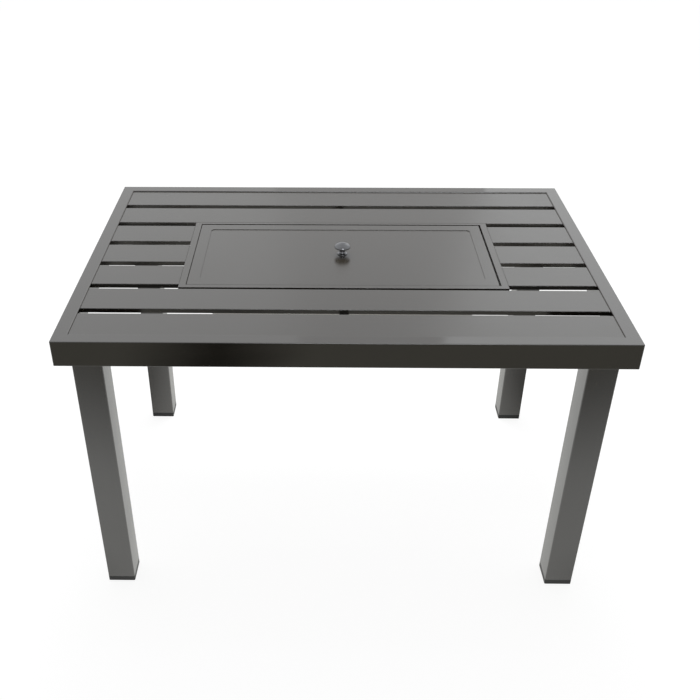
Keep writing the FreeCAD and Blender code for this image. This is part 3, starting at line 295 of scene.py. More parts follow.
def coat_group():
    """Powder coat: soft mottling, fine speckle and orange peel."""
    group, given, made = new_group(
        "powder_coat_grain",
        [("Colour", COLOUR, (0.1, 0.1, 0.1, 1)), ("Roughness", FLOAT, 0.4), ("Grain", FLOAT, 0.0016),
         ("Mottle", FLOAT, 0.10), ("Peel", FLOAT, 0.25)],
        [("Colour", COLOUR), ("Roughness", FLOAT), ("Height", FLOAT)])
    cloud_scale = 9.0
    speck_coarseness = 0.6
    speck_share = 1.4
    gloss_change = 0.10
    point = add(group, "ShaderNodeTexCoord").outputs["Object"]
    fine_scale = math_node(group, "DIVIDE", 1.0, given.outputs["Grain"])
    cloud = add(group, "ShaderNodeTexNoise", {"Vector": point, "Scale": cloud_scale, "Detail": 4.0,
                                              "Roughness": 0.6})
    peel = add(group, "ShaderNodeTexNoise", {"Vector": point, "Scale": fine_scale, "Detail": 1.0})
    speck_scale = math_node(group, "MULTIPLY", fine_scale, speck_coarseness)
    speck = add(group, "ShaderNodeTexNoise", {"Vector": point, "Scale": speck_scale, "Detail": 3.0,
                                              "Roughness": 0.75})
    cloud_shift = math_node(group, "SUBTRACT", cloud.outputs["Fac"], 0.5)
    speck_shift = math_node(group, "SUBTRACT", speck.outputs["Fac"], 0.5)
    both = math_node(group, "ADD", cloud_shift,
                     math_node(group, "MULTIPLY", speck_shift, speck_share))
    level = math_node(group, "ADD", math_node(group, "MULTIPLY", both, given.outputs["Mottle"]), 1.0)
    tinted = add(group, "ShaderNodeVectorMath", {0: given.outputs["Colour"]}, operation="SCALE")
    group.links.new(level, tinted.inputs["Scale"])
    rough = math_node(group, "ADD", given.outputs["Roughness"],
                      math_node(group, "MULTIPLY", cloud_shift, gloss_change))
    height = math_node(group, "MULTIPLY", peel.outputs["Fac"], given.outputs["Peel"])
    group.links.new(tinted.outputs[0], made.inputs["Colour"])
    group.links.new(rough, made.inputs["Roughness"])
    group.links.new(height, made.inputs["Height"])
    return group


def brushed_group():
    """Rolled or brushed metal: fine lines along one axis, faint stains."""
    group, given, made = new_group(
        "brushed_lines",
        [("Colour", COLOUR, (0.5, 0.5, 0.5, 1)), ("Roughness", FLOAT, 0.35),
         ("Stretch", VECTOR, (1, 1, 1)), ("Lines", FLOAT, 0.12)],
        [("Colour", COLOUR), ("Roughness", FLOAT), ("Height", FLOAT)])
    stain_scale = 14.0
    gloss_change = 0.25
    point = add(group, "ShaderNodeTexCoord").outputs["Object"]
    along = add(group, "ShaderNodeVectorMath", {0: point, 1: given.outputs["Stretch"]},
                operation="MULTIPLY")
    lines = add(group, "ShaderNodeTexNoise", {"Vector": along.outputs[0], "Scale": 1.0, "Detail": 2.0})
    stain = add(group, "ShaderNodeTexNoise", {"Vector": point, "Scale": stain_scale, "Detail": 3.0})
    line_shift = math_node(group, "SUBTRACT", lines.outputs["Fac"], 0.5)
    stain_shift = math_node(group, "SUBTRACT", stain.outputs["Fac"], 0.5)
    change = math_node(group, "MULTIPLY", math_node(group, "ADD", line_shift, stain_shift),
                       given.outputs["Lines"])
    level = math_node(group, "ADD", change, 1.0)
    tinted = add(group, "ShaderNodeVectorMath", {0: given.outputs["Colour"]}, operation="SCALE")
    group.links.new(level, tinted.inputs["Scale"])
    rough = math_node(group, "ADD", given.outputs["Roughness"],
                      math_node(group, "MULTIPLY", line_shift, gloss_change))
    group.links.new(tinted.outputs[0], made.inputs["Colour"])
    group.links.new(rough, made.inputs["Roughness"])
    group.links.new(math_node(group, "MULTIPLY", lines.outputs["Fac"], given.outputs["Lines"]),
                    made.inputs["Height"])
    return group


def group_material(name, group, feeds, depth, **uniform):
    """Principled material fed by one of the groups above, with its relief this deep."""
    material = bpy.data.materials.new(name)
    material.use_nodes = True
    tree = material.node_tree
    shader = tree.nodes["Principled BSDF"]
    for key, value in uniform.items():
        shader.inputs[key.replace("_", " ")].default_value = value
    effect = tree.nodes.new("ShaderNodeGroup")
    effect.node_tree = group
    for key, value in feeds.items():
        effect.inputs[key].default_value = value
    tree.links.new(effect.outputs["Colour"], shader.inputs["Base Color"])
    tree.links.new(effect.outputs["Roughness"], shader.inputs["Roughness"])
    relief = add(tree, "ShaderNodeBump", {"Height": effect.outputs["Height"], "Distance": depth})
    tree.links.new(relief.outputs["Normal"], shader.inputs["Normal"])
    return material


MATERIALS = {}


def make_materials():
    """All finishes by their slot in the record, and border_coat for the welded border."""
    paint = settings().paint
    metal = settings().metal
    coat = coat_group()
    brushed = brushed_group()

    def rgba(colour):
        return (*colour, 1.0)

    def coated(name, colour, rough, mottle=0.10, peel=0.25, grain=paint.grain, **uniform):
        MATERIALS[name] = group_material(
            name + "_finish", coat,
            {"Colour": rgba(colour), "Roughness": rough, "Grain": grain, "Mottle": mottle,
             "Peel": peel}, COAT_RELIEF, **uniform)

    def metallic(name, colour, rough, stretch, lines=0.12):
        MATERIALS[name] = group_material(
            name + "_finish", brushed,
            {"Colour": rgba(colour), "Roughness": rough, "Stretch": stretch, "Lines": lines},
            METAL_RELIEF, Metallic=1.0)

    coated("powder_coat", paint.colour, rough=paint.roughness, IOR=paint.gloss_index)
    coated("border_coat", paint.colour, rough=paint.border_roughness, peel=0.05,
           IOR=paint.gloss_index)
    coated("powder_coat_dark", paint.dark_colour, rough=0.5, mottle=0.2)
    coated("black_plastic", (0.02, 0.02, 0.021), rough=0.42, grain=0.0007, peel=0.5)
    coated("grey_plastic", (0.014, 0.0135, 0.013), rough=0.5, grain=0.0009, peel=0.6)
    coated("rubber", (0.03, 0.03, 0.03), rough=0.75, grain=0.0012, peel=0.7)
    coated("ceramic", (0.78, 0.76, 0.70), rough=0.3, mottle=0.05, peel=0.3)
    metallic("knob_metal", metal.knob, rough=0.13, stretch=(300, 300, 1500), lines=0.05)
    metallic("stainless", metal.steel, rough=0.34, stretch=(12, 900, 900))
    metallic("aluminised", metal.aluminised, rough=0.42, stretch=(60, 60, 60), lines=0.3)
    metallic("zinc", metal.zinc, rough=0.38, stretch=(200, 200, 200), lines=0.15)
    metallic("brass", metal.brass, rough=0.3, stretch=(300, 300, 900), lines=0.1)
    metallic("chrome", (0.72, 0.72, 0.72), rough=0.1, stretch=(300, 300, 300), lines=0.04)


# Mesh helpers
def finish_piece(name, mesh_maker, body, slot, node_names, smooth_angle=35, finish=None):
    """Object from a bmesh builder: dressed, riding on its body, standing for its CAD nodes."""
    mesh = bpy.data.meshes.new(name)
    work = bmesh.new()
    mesh_maker(work)
    bmesh.ops.remove_doubles(work, verts=work.verts, dist=MERGE)
    bmesh.ops.recalc_face_normals(work, faces=work.faces)
    work.to_mesh(mesh)
    work.free()
    mesh.shade_smooth()
    mesh.set_sharp_from_angle(angle=math.radians(smooth_angle))
    item = bpy.data.objects.new(name, mesh)
    bpy.context.scene.collection.objects.link(item)
    mesh.materials.append(MATERIALS[finish or slot])
    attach(item, body)
    if node_names:
        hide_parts(*node_names)
    return item


# Turns that lay a solid of revolution's own axis along X, Y or Z
AXES = {"X": Matrix(((0, 0, 1), (1, 0, 0), (0, 1, 0))),
        "Y": Matrix(((0, 1, 0), (0, 0, 1), (1, 0, 0))),
        "Z": Matrix.Identity(3)}


def turned(work, profile, centre, steps=64, axis="Z"):
    """Solid of revolution about an axis through centre.

    profile holds (radius, height) from one end to the other; a third value is the half width
    across the flats of a hexagon that cuts the circle.
    """
    rings = []
    for radius, height, *flats in profile:
        count = 1 if radius < MERGE else steps
        ring = []
        for step in range(count):
            angle = 2 * math.pi * step / count
            reach = radius
            if flats:
                reach = min(radius, flats[0] / math.cos(angle % (math.pi / 3) - math.pi / 6))
            spot = Vector((reach * math.cos(angle), reach * math.sin(angle), height))
            ring.append(work.verts.new(Vector(centre) + AXES[axis] @ spot))
        rings.append(ring)
    for low, high in zip(rings, rings[1:]):
        for step in range(steps):
            after = (step + 1) % steps
            if len(low) == 1:
                work.faces.new((low[0], high[after], high[step]))
            elif len(high) == 1:
                work.faces.new((low[step], low[after], high[0]))
            else:
                work.faces.new((low[step], low[after], high[after], high[step]))


def rounded_path(points, radii, steps=4):
    """Closed profile with each corner rounded by its own radius."""
    result = []
    count = len(points)
    for place in range(count):
        before, corner, after = (Vector(points[(place + move) % count]) for move in (-1, 0, 1))
        radius = radii[place]
        if radius <= 0:
            result.append(corner)
            continue
        back = (before - corner).normalized()
        ahead = (after - corner).normalized()
        half = back.angle(ahead) / 2
        start = corner + back * radius / math.tan(half)
        end = corner + ahead * radius / math.tan(half)
        middle = corner + (back + ahead).normalized() * radius / math.sin(half)
        first = start - middle
        sweep = first.angle_signed(end - middle)
        for step in range(steps + 1):
            turn = -sweep * step / steps
            spun = Vector((first.x * math.cos(turn) - first.y * math.sin(turn),
                           first.x * math.sin(turn) + first.y * math.cos(turn)))
            result.append(middle + spun)
    return result


def swept_border(work, profile, half_x, half_y, corner, steps=5):
    """Profile of (inward, height) swept round a rectangle, with rounded outer corners."""
    stations = []
    for sign_x, sign_y, start in ((1, -1, -90), (1, 1, 0), (-1, 1, 90), (-1, -1, 180)):
        for step in range(steps + 1):
            angle = math.radians(start + 90 * step / steps)
            ring = []
            for inward, height in profile:
                radius = max(corner - inward, 0)
                reach = max(corner, inward)
                x = sign_x * (half_x - reach) + radius * math.cos(angle)
                y = sign_y * (half_y - reach) + radius * math.sin(angle)
                ring.append(work.verts.new((x, y, height)))
            stations.append(ring)
    total = len(profile)
    for place, ring in enumerate(stations):
        following = stations[(place + 1) % len(stations)]
        for step in range(total):
            after = (step + 1) % total
            work.faces.new((ring[step], ring[after], following[after], following[step]))
    bmesh.ops.remove_doubles(work, verts=work.verts, dist=MERGE)
    bmesh.ops.dissolve_degenerate(work, dist=MERGE, edges=work.edges)


def round_edges(item, width):
    """Rounds an object's sheet edges with modifiers."""
    flat_angle = 0.5
    weld = item.modifiers.new("weld", "WELD")
    weld.merge_threshold = MERGE
    merge = item.modifiers.new("flat_faces", "DECIMATE")
    merge.decimate_type = "DISSOLVE"
    merge.angle_limit = math.radians(flat_angle)
    bevel = item.modifiers.new("edges", "BEVEL")
    bevel.width = width
    bevel.segments = 2
    bevel.limit_method = "ANGLE"
    bevel.angle_limit = math.radians(SHARP_ANGLE)
    bevel.use_clamp_overlap = True
    bevel.harden_normals = True


def soften(names, width):
    """Rounds the sheet edges of CAD nodes; their meshes stay as they are."""
    for name in names:
        round_edges(CAD_NODES[name], width)


def refitted(name, body, width, new_place):
    """Piece in a CAD node's place, from its mesh with every point at its new_place."""
    source = CAD_NODES[name]

    def build(work):
        work.from_mesh(source.data)
        for corner in work.verts:
            corner.co = new_place(source.matrix_world @ corner.co)

    piece = finish_piece(name + "_fitted", build, body, node_slots()[name], [name],
                         smooth_angle=SHARP_ANGLE)
    round_edges(piece, width)


def islands(name):
    """Lowest and highest corner of each separate solid of a CAD node."""
    source = CAD_NODES[name]
    work = bmesh.new()
    work.from_mesh(source.data)
    bmesh.ops.remove_doubles(work, verts=work.verts, dist=MERGE)
    left = set(work.verts)
    boxes = []
    while left:
        group = [left.pop()]
        for vertex in group:
            for edge in vertex.link_edges:
                other = edge.other_vert(vertex)
                if other in left:
                    left.remove(other)
                    group.append(other)
        places = [source.matrix_world @ vertex.co for vertex in group]
        boxes.append((Vector(map(min, zip(*places))), Vector(map(max, zip(*places)))))
    work.free()
    return sorted(boxes, key=lambda corners: tuple(round(value, 5) for value in corners[0]))


def thread(radius, low, high, pitch):
    """Profile points of thread rings from one height to another."""
    depth = 0.6 * pitch
    crest_start = 0.4
    crest_end = 0.6
    turns = max(1, round(abs(high - low) / pitch))
    step = (high - low) / turns
    root = radius - depth
    points = []
    for turn in range(turns):
        points.append((root, low + step * turn))
        points.append((radius, low + step * (turn + crest_start)))
        points.append((radius, low + step * (turn + crest_end)))
    points.append((root, high))
    return points


def hex_head(radius, flats, height):
    """Profile of a chamfered hexagon head with its washer face, from its outer end."""
    face = flats * 0.93
    face_edge = flats * 0.98
    washer = flats * 0.96
    return [(0, 0), (face, 0), (face_edge, 0.02 * height, flats), (radius, 0.14 * height, flats),
            (radius, 0.90 * height, flats), (washer, 0.92 * height), (washer, height)]


def screw(work, low, high, head_height, shank, pitch):
    """Hexagon screw that points up inside a box, its head at the bottom."""
    flats, corner = sorted(((high.x - low.x) / 2, (high.y - low.y) / 2))
    tall = high.z - low.z
    tip_radius = shank - 0.7 * pitch
    thread_end = tall - 0.6 * pitch
    profile = hex_head(corner, flats, head_height)
    profile += [(shank, head_height), (shank, head_height + pitch)]
    profile += thread(shank, head_height + pitch, thread_end, pitch)
    profile += [(tip_radius, tall), (0, tall)]
    turned(work, profile, ((low.x + high.x) / 2, (low.y + high.y) / 2, low.z), steps=36)


def nut(work, low, high, bore, axis):
    """Chamfered hexagon nut that fills a box, with a round bore."""
    along = "XYZ".index(axis)
    flats, corner = sorted((high[side] - low[side]) / 2 for side in range(3) if side != along)
    height = high[along] - low[along]
    start = (low + high) / 2
    start[along] = low[along]
    face = flats * 0.95
    chamfer = 0.12 * height
    profile = [(bore, 0), (face, 0), (corner, chamfer, flats), (corner, height - chamfer, flats),
               (face, height), (bore, height), (bore, 0)]
    turned(work, profile, start, steps=48, axis=axis)


def rounded_box(work, low, high, radius, segments=3):
    """Box with all its edges rounded."""
    made = bmesh.ops.create_cube(work, size=1.0)
    size = high - low
    for corner in made["verts"]:
        corner.co = Vector(low) + Vector((size[side] * (corner.co[side] + 0.5) for side in range(3)))
    edges = list(dict.fromkeys(edge for corner in made["verts"] for edge in corner.link_edges))
    bmesh.ops.bevel(work, geom=edges, offset=radius, segments=segments, profile=0.5,
                    affect="EDGES", clamp_overlap=True)


def bead(work, start, end, radius):
    """Rippled weld bead from one point to another."""
    ripple = 1.6 * MM
    ripple_height = 0.10
    end_size = 0.4
    sides = 8
    start, end = Vector(start), Vector(end)
    along = (end - start).normalized()
    side = along.orthogonal().normalized()
    up = along.cross(side)
    count = max(4, round((end - start).length / ripple))
    rings = []
    for step in range(count + 1):
        swell = radius * (1.0 + ripple_height * (-1) ** step)
        if step in (0, count):
            swell = radius * end_size
        middle = start.lerp(end, step / count)
        ring = []
        for turn in range(sides):
            angle = 2 * math.pi * turn / sides
            ring.append(work.verts.new(middle + swell * (side * math.cos(angle) + up * math.sin(angle))))
        rings.append(ring)
    for near, far in zip(rings, rings[1:]):
        for turn in range(sides):
            after = (turn + 1) % sides
            work.faces.new((near[turn], near[after], far[after], far[turn]))
    work.faces.new(rings[0])
    work.faces.new(rings[-1])


def paint(name, slot):
    """Gives a CAD node the material of a slot."""
    mesh = CAD_NODES[name].data
    mesh.materials.clear()
    mesh.materials.append(MATERIALS[slot])


def smooth(name):
    """Shades a CAD node smooth up to its sharp edges."""
    mesh = CAD_NODES[name].data
    if "custom_normal" in mesh.attributes:
        mesh.attributes.remove(mesh.attributes["custom_normal"])
    mesh.shade_smooth()
    mesh.set_sharp_from_angle(angle=math.radians(SHARP_ANGLE))


def node_slots():
    """Record's material slot of each CAD node."""
    return {row["node"]: row["material_slot"] for row in frame["record"]["subparts"]}


# Operators, one for each piece or group of like pieces
class FIREPIT_OT_finishes(bpy.types.Operator):
    """Make the materials and give every CAD node its own"""
    bl_idname = "firepit.finishes"
    bl_label = "Finishes"

    def execute(self, context):
        make_materials()
        for name, slot in node_slots().items():
            paint(name, slot)
            smooth(name)
        return {"FINISHED"}


class FIREPIT_OT_border(bpy.types.Operator):
    """Welded border with rounded edges, in place of the four plain rails"""
    bl_idname = "firepit.border"
    bl_label = "Border"

    def execute(self, context):
        look = settings().paint
        low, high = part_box("front_rail")
        slat_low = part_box("slat_1")[0]
        half_x = high.x
        half_y = -low.y
        lip = high.y - low.y
        box_width = 24 * MM
        wall = 2 * MM
        lip_thickness = 2.5 * MM
        lip_under = high.z - lip_thickness
        points = [(0, low.z), (0, high.z), (lip, high.z), (lip, lip_under), (wall, lip_under),
                  (wall, slat_low.z), (box_width, slat_low.z), (box_width, low.z)]
        edge = look.rail_edge
        lip_edge = edge * 1.55
        box_edge = edge * 0.6
        radii = [edge, edge, lip_edge, 0, 0, 0, box_edge, edge]
        profile = rounded_path(points, radii)

        def build(work):
            swept_border(work, profile, half_x, half_y, look.rail_corner)

        border = finish_piece("border", build, "table", "powder_coat",
                              ["front_rail", "back_rail", "left_rail", "right_rail"],
                              finish="border_coat")
        shading = border.modifiers.new("flat_shading", "WEIGHTED_NORMAL")
        shading.weight = 100
        shading.keep_sharp = True
        return {"FINISHED"}


def row_sizes():
    """Width of a slat and distance from row to row, with the slots of the photograph."""
    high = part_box("front_rail")[1]
    slot = settings().fit.slot
    width = (-2 * high.y - (ROWS - 1) * slot) / ROWS
    return width, width + slot


class FIREPIT_OT_slats(bpy.types.Operator):
    """Slats a few millimetres narrower than the CAD's, so that the slots match the photograph"""
    bl_idname = "firepit.slats"
    bl_label = "Slats"

    def execute(self, context):
        fit = settings().fit
        width, pitch = row_sizes()
        for name in sorted(CAD_NODES):
            if name.startswith("slat_") and name != "slat_clips":
                row = int(name.split("_")[1])
                low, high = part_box(name)
                middle = (MIDDLE_ROW - row) * pitch
                front = low.y if row == ROWS else middle - width / 2
                back = high.y if row == 1 else middle + width / 2
                if name in ("slat_4_right", "slat_5_right"):
                    back += fit.right_wider
                skew = (fit.slat_skew_front, fit.slat_skew_back) if row == 6 else (0.0, 0.0)
                self.slat(name, low, high, front, back, fit.edge_lift, skew)
        return {"FINISHED"}

    def slat(self, name, low, high, front, back, lift, skew):
        """One slat from front to back, its edges lifted off the ribs and its right end skewed."""
        edge_zone = 3 * MM
        bottom_zone = 0.1 * MM

        def new_place(place):
            share = (place.y - low.y) / (high.y - low.y)
            at_edge = min(place.y - low.y, high.y - place.y) < edge_zone
            at_bottom = place.z < low.z + bottom_zone
            up = lift if at_edge and at_bottom else 0.0
            forward = (skew[0] + (skew[1] - skew[0]) * share) * (place.x - low.x) / (high.x - low.x)
            return Vector((place.x, front + (back - front) * share - forward, place.z + up))

        refitted(name, "table", settings().paint.edge, new_place)


class FIREPIT_OT_trim(bpy.types.Operator):
    """Trim frame and lid drawn out to meet the slats"""
    bl_idname = "firepit.trim"
    bl_label = "Trim frame and lid"

    def execute(self, context):
        fit = settings().fit
        edge = settings().paint.edge
        lid_edge = edge * 0.35
        width, pitch = row_sizes()
        row_edge = 2 * pitch - width / 2
        low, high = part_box("burner_rim")
        slat_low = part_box("slat_4_right")[0]
        front = fit.trim_front_gap - row_edge
        grow_y = (row_edge - fit.trim_fit - front) / (high.y - low.y)
        grow_x = (slat_low.x - fit.trim_fit) / high.x

        def trim_place(place):
            return Vector((place.x * grow_x, front + (place.y - low.y) * grow_y, place.z))

        lid_low, lid_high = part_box("lid_panel")
        lid_front = front + (lid_low.y - low.y) * grow_y - fit.lid_front_close
        lid_back = front + (lid_high.y - low.y) * grow_y - fit.lid_back_gap
        lid_grow = (lid_back - lid_front) / (lid_high.y - lid_low.y)
        raised_from = lid_high.z - fit.lid_sink * 2

        def lid_place(place):
            sunk = fit.lid_sink if place.z > raised_from else 0.0
            return Vector((place.x, lid_front + (place.y - lid_low.y) * lid_grow, place.z - sunk))

        refitted("burner_rim", "table", edge, trim_place)
        refitted("lid_panel", "lid", lid_edge, lid_place)
        return {"FINISHED"}


class FIREPIT_OT_sheet_edges(bpy.types.Operator):
    """Rounded edges on the legs, the frame, the pan, the panel and other plain parts"""
    bl_idname = "firepit.sheet_edges"
    bl_label = "Sheet edges"

    def execute(self, context):
        width = settings().paint.edge
        pan_edge = width * 0.8
        soft_edge = width * 1.4
        tube_edge = width * 1.6
        cap_edge = width * 2
        soften([name for name in CAD_NODES if name.endswith("_leg")], width)
        soften([name for name in CAD_NODES if name.endswith(("_header", "_bearer"))], tube_edge)
        soften(["corner_brackets", "slat_clips", "control_panel", "heat_shield", "burner_stands",
                "burner", "gas_jet", "air_mixer"], width)
        soften(["foot_caps"], cap_edge)
        soften(["burner_pan"], pan_edge)
        soften(["lid_feet", "valve_body", "igniter_body", "gas_pipe"], soft_edge)
        return {"FINISHED"}


class FIREPIT_OT_fasteners(bpy.types.Operator):
    """Bolts, screws and nuts with round shanks, threads and chamfered heads"""
    bl_idname = "firepit.fasteners"
    bl_label = "Fasteners"

    def execute(self, context):
        # Head height, shank radius and pitch of each screw
        for name, body, head, shank, pitch in (
                ("leg_bolts", "table", 5.3 * MM, 4.0 * MM, 1.25 * MM),
                ("panel_screws", "table", 2.8 * MM, 2.5 * MM, 0.8 * MM),
                ("lid_knob_screw", "lid", 2.8 * MM, 2.5 * MM, 0.8 * MM)):

            def build(work):
                for low, high in islands(name):
                    screw(work, low, high, head, shank, pitch)

            finish_piece(name + "_threaded", build, body, node_slots()[name], [name])
        # Bore radius and axis of each nut
        for name, bore, axis in (("valve_nut", 8.15 * MM, "Y"), ("nipple_locknut", 10.7 * MM, "Z")):

            def build(work):
                nut(work, *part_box(name), bore, axis)

            finish_piece(name + "_chamfered", build, "table", node_slots()[name], [name])
        return {"FINISHED"}


class FIREPIT_OT_welds(bpy.types.Operator):
    """Weld beads under the plates of the legs and at the ends of the frame tubes"""
    bl_idname = "firepit.welds"
    bl_label = "Welds"

    def execute(self, context):
        radius = settings().fit.weld
        beads = []
        for name in sorted(CAD_NODES):
            low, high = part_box(name)
            if name.endswith("_leg"):
                beads += self.leg_beads(low, high)
            elif name.endswith("_header"):
                beads += [((side, low.y, low.z), (side, high.y, low.z)) for side in (low.x, high.x)]
            elif name.endswith("_bearer"):
                beads += [((low.x, side, low.z), (high.x, side, low.z)) for side in (low.y, high.y)]

        def build(work):
            for start, end in beads:
                bead(work, start, end, radius)

        finish_piece("weld_beads", build, "table", "powder_coat_dark", [], smooth_angle=60)
        return {"FINISHED"}

    def leg_beads(self, low, high):
        """Two beads on the leg's inner faces, under its plate."""
        tube = 66 * MM
        plate_thickness = 4 * MM
        plate_under = high.z - plate_thickness
        outer_x = high.x if high.x > 0 else low.x
        outer_y = high.y if high.y > 0 else low.y
        inner_x = outer_x - math.copysign(tube, outer_x)
        inner_y = outer_y - math.copysign(tube, outer_y)
        return [((inner_x, inner_y, plate_under), (outer_x, inner_y, plate_under)),
                ((inner_x, inner_y, plate_under), (inner_x, outer_y, plate_under))]


class FIREPIT_OT_controls(bpy.types.Operator):
    """Control knob with its pointer, igniter button and threaded gas inlet"""
    bl_idname = "firepit.controls"
    bl_label = "Controls"

    def execute(self, context):
        self.control_knob()
        self.button()
        self.inlet()
        return {"FINISHED"}

    def control_knob(self):
        """Round skirt with a grip bar across it, and a pale pointer line on the bar."""
        low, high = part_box("control_knob")
        middle = (low + high) / 2
        wide = (high.x - low.x) / 2
        tall = high.y - low.y
        skirt = 5 * MM
        chamfer = 0.8 * MM
        shoulder = 2 * MM
        shoulder_waist = 0.6 * MM
        grip = 19 * MM
        bar = 6.5 * MM
        bar_start = 2 * MM
        bar_edge = 2.6 * MM
        line = 0.9 * MM
        line_inset = 4 * MM
        line_proud = 0.25 * MM
        line_edge = 0.2 * MM
        profile = [(0, 0), (wide - chamfer, 0), (wide, chamfer), (wide, skirt - shoulder),
                   (wide - shoulder_waist, skirt - chamfer), (wide - shoulder, skirt),
                   (bar * 1.9, skirt + 1.2 * MM), (bar * 1.5, skirt + 2.4 * MM),
                   (0, skirt + 2.6 * MM)]

        def build(work):
            turned(work, profile, (middle.x, low.y, middle.z), axis="Y")
            rounded_box(work, Vector((middle.x - bar, low.y + bar_start, middle.z - grip)),
                        Vector((middle.x + bar, high.y, middle.z + grip)), bar_edge, segments=5)

        finish_piece("control_knob_moulded", build, "valve_turn", node_slots()["control_knob"],
                     ["control_knob"])

        def draw_line(work):
            start = Vector((middle.x - line, high.y - tall / 2, middle.z + line_inset))
            end = Vector((middle.x + line, high.y + line_proud, middle.z + grip - line_inset))
            rounded_box(work, start, end, line_edge, segments=2)

        finish_piece("knob_pointer", draw_line, "valve_turn", "ceramic", [])

    def button(self):
        """Round push button with a soft rim and a dished face."""
        low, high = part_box("igniter_button")
        middle = (low + high) / 2
        wide = (high.x - low.x) / 2
        tall = high.y - low.y
        profile = [(0, 0), (wide, 0), (wide, tall - 1.6 * MM), (wide * 0.97, tall - 0.8 * MM),
                   (wide * 0.88, tall - 0.25 * MM), (wide * 0.76, tall),
                   (wide * 0.6, tall - 0.4 * MM), (0, tall - 0.6 * MM)]

        def build(work):
            turned(work, profile, (middle.x, low.y, middle.z), axis="Y")

        finish_piece("igniter_button_turned", build, "igniter_push", node_slots()["igniter_button"],
                     ["igniter_button"])

    def inlet(self):
        """Elbow block with a hexagon towards the valve and a threaded inlet below."""
        low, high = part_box("gas_inlet")
        block = 20 * MM
        block_edge = 2.2 * MM
        length = 14 * MM
        bore = 4 * MM
        bore_depth = length * 0.8
        bore_edge = 1.2 * MM
        radius = 7.94 * MM
        tip_step = 1.6 * MM
        pitch = 1.41 * MM
        corner = 11 * MM
        flats = corner * math.cos(math.pi / 6)
        face = flats * 0.95
        chamfer = 0.8 * MM
        overlap = 0.4 * MM
        centre = Vector((high.x - block / 2, (low.y + high.y) / 2, low.z + length + block / 2))
        hex_long = high.x - block - low.x
        hexagon = [(0, 0), (face, 0), (corner, chamfer, flats), (corner, hex_long - chamfer, flats),
                   (face, hex_long), (flats * 0.8, hex_long + overlap), (0, hex_long + overlap)]
        nose = [(0, bore_depth), (bore, bore_depth), (bore, bore_edge), (bore + bore_edge, 0),
                (radius - tip_step, 0)]
        nose += thread(radius, 1.0 * MM, length - 1.5 * MM, pitch)
        nose += [(radius * 0.86, length + 0.5 * MM), (0, length + 0.5 * MM)]

        def build(work):
            turned(work, hexagon, (low.x, centre.y, centre.z), steps=48, axis="X")
            rounded_box(work, Vector((high.x - block, low.y, low.z + length)),
                        Vector((high.x, high.y, low.z + length + block)), block_edge, segments=4)
            turned(work, nose, (centre.x, centre.y, low.z), steps=48)

        finish_piece("gas_inlet_threaded", build, "table", node_slots()["gas_inlet"], ["gas_inlet"])


class FIREPIT_OT_lid_knob(bpy.types.Operator):
    """Turned lid knob with a full dome"""
    bl_idname = "firepit.lid_knob"
    bl_label = "Lid knob"

    def execute(self, context):
        low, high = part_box("lid_knob")
        centre = ((low.x + high.x) / 2 + settings().fit.knob_aside, (low.y + high.y) / 2, low.z)
        tall = high.z - low.z
        wide = (high.x - low.x) / 2
        rim = 18.5 * MM
        underside = 5.2 * MM
        quarter = 12
        first_step = -9
        # Radius and height along the foot and the neck, in millimetres
        foot = [(0, 0), (11.8, 0), (12.0, 0.3), (12.0, 2.0), (11.7, 2.5), (9.4, 3.0), (7.6, 4.2),
                (6.7, 6.0), (6.5, 9.0), (6.8, 11.0), (7.6, 12.6)]
        profile = [(radius * MM, height * MM) for radius, height in foot]
        for step in range(first_step, quarter):
            angle = math.radians(90 * step / quarter)
            rise = tall - rim if step >= 0 else underside
            profile.append((wide * math.cos(angle), rim + rise * math.sin(angle)))
        profile.append((0, tall))

        def build(work):
            turned(work, profile, centre, steps=72)

        finish_piece("lid_knob_turned", build, "lid", "knob_metal", ["lid_knob"], smooth_angle=50)
        return {"FINISHED"}


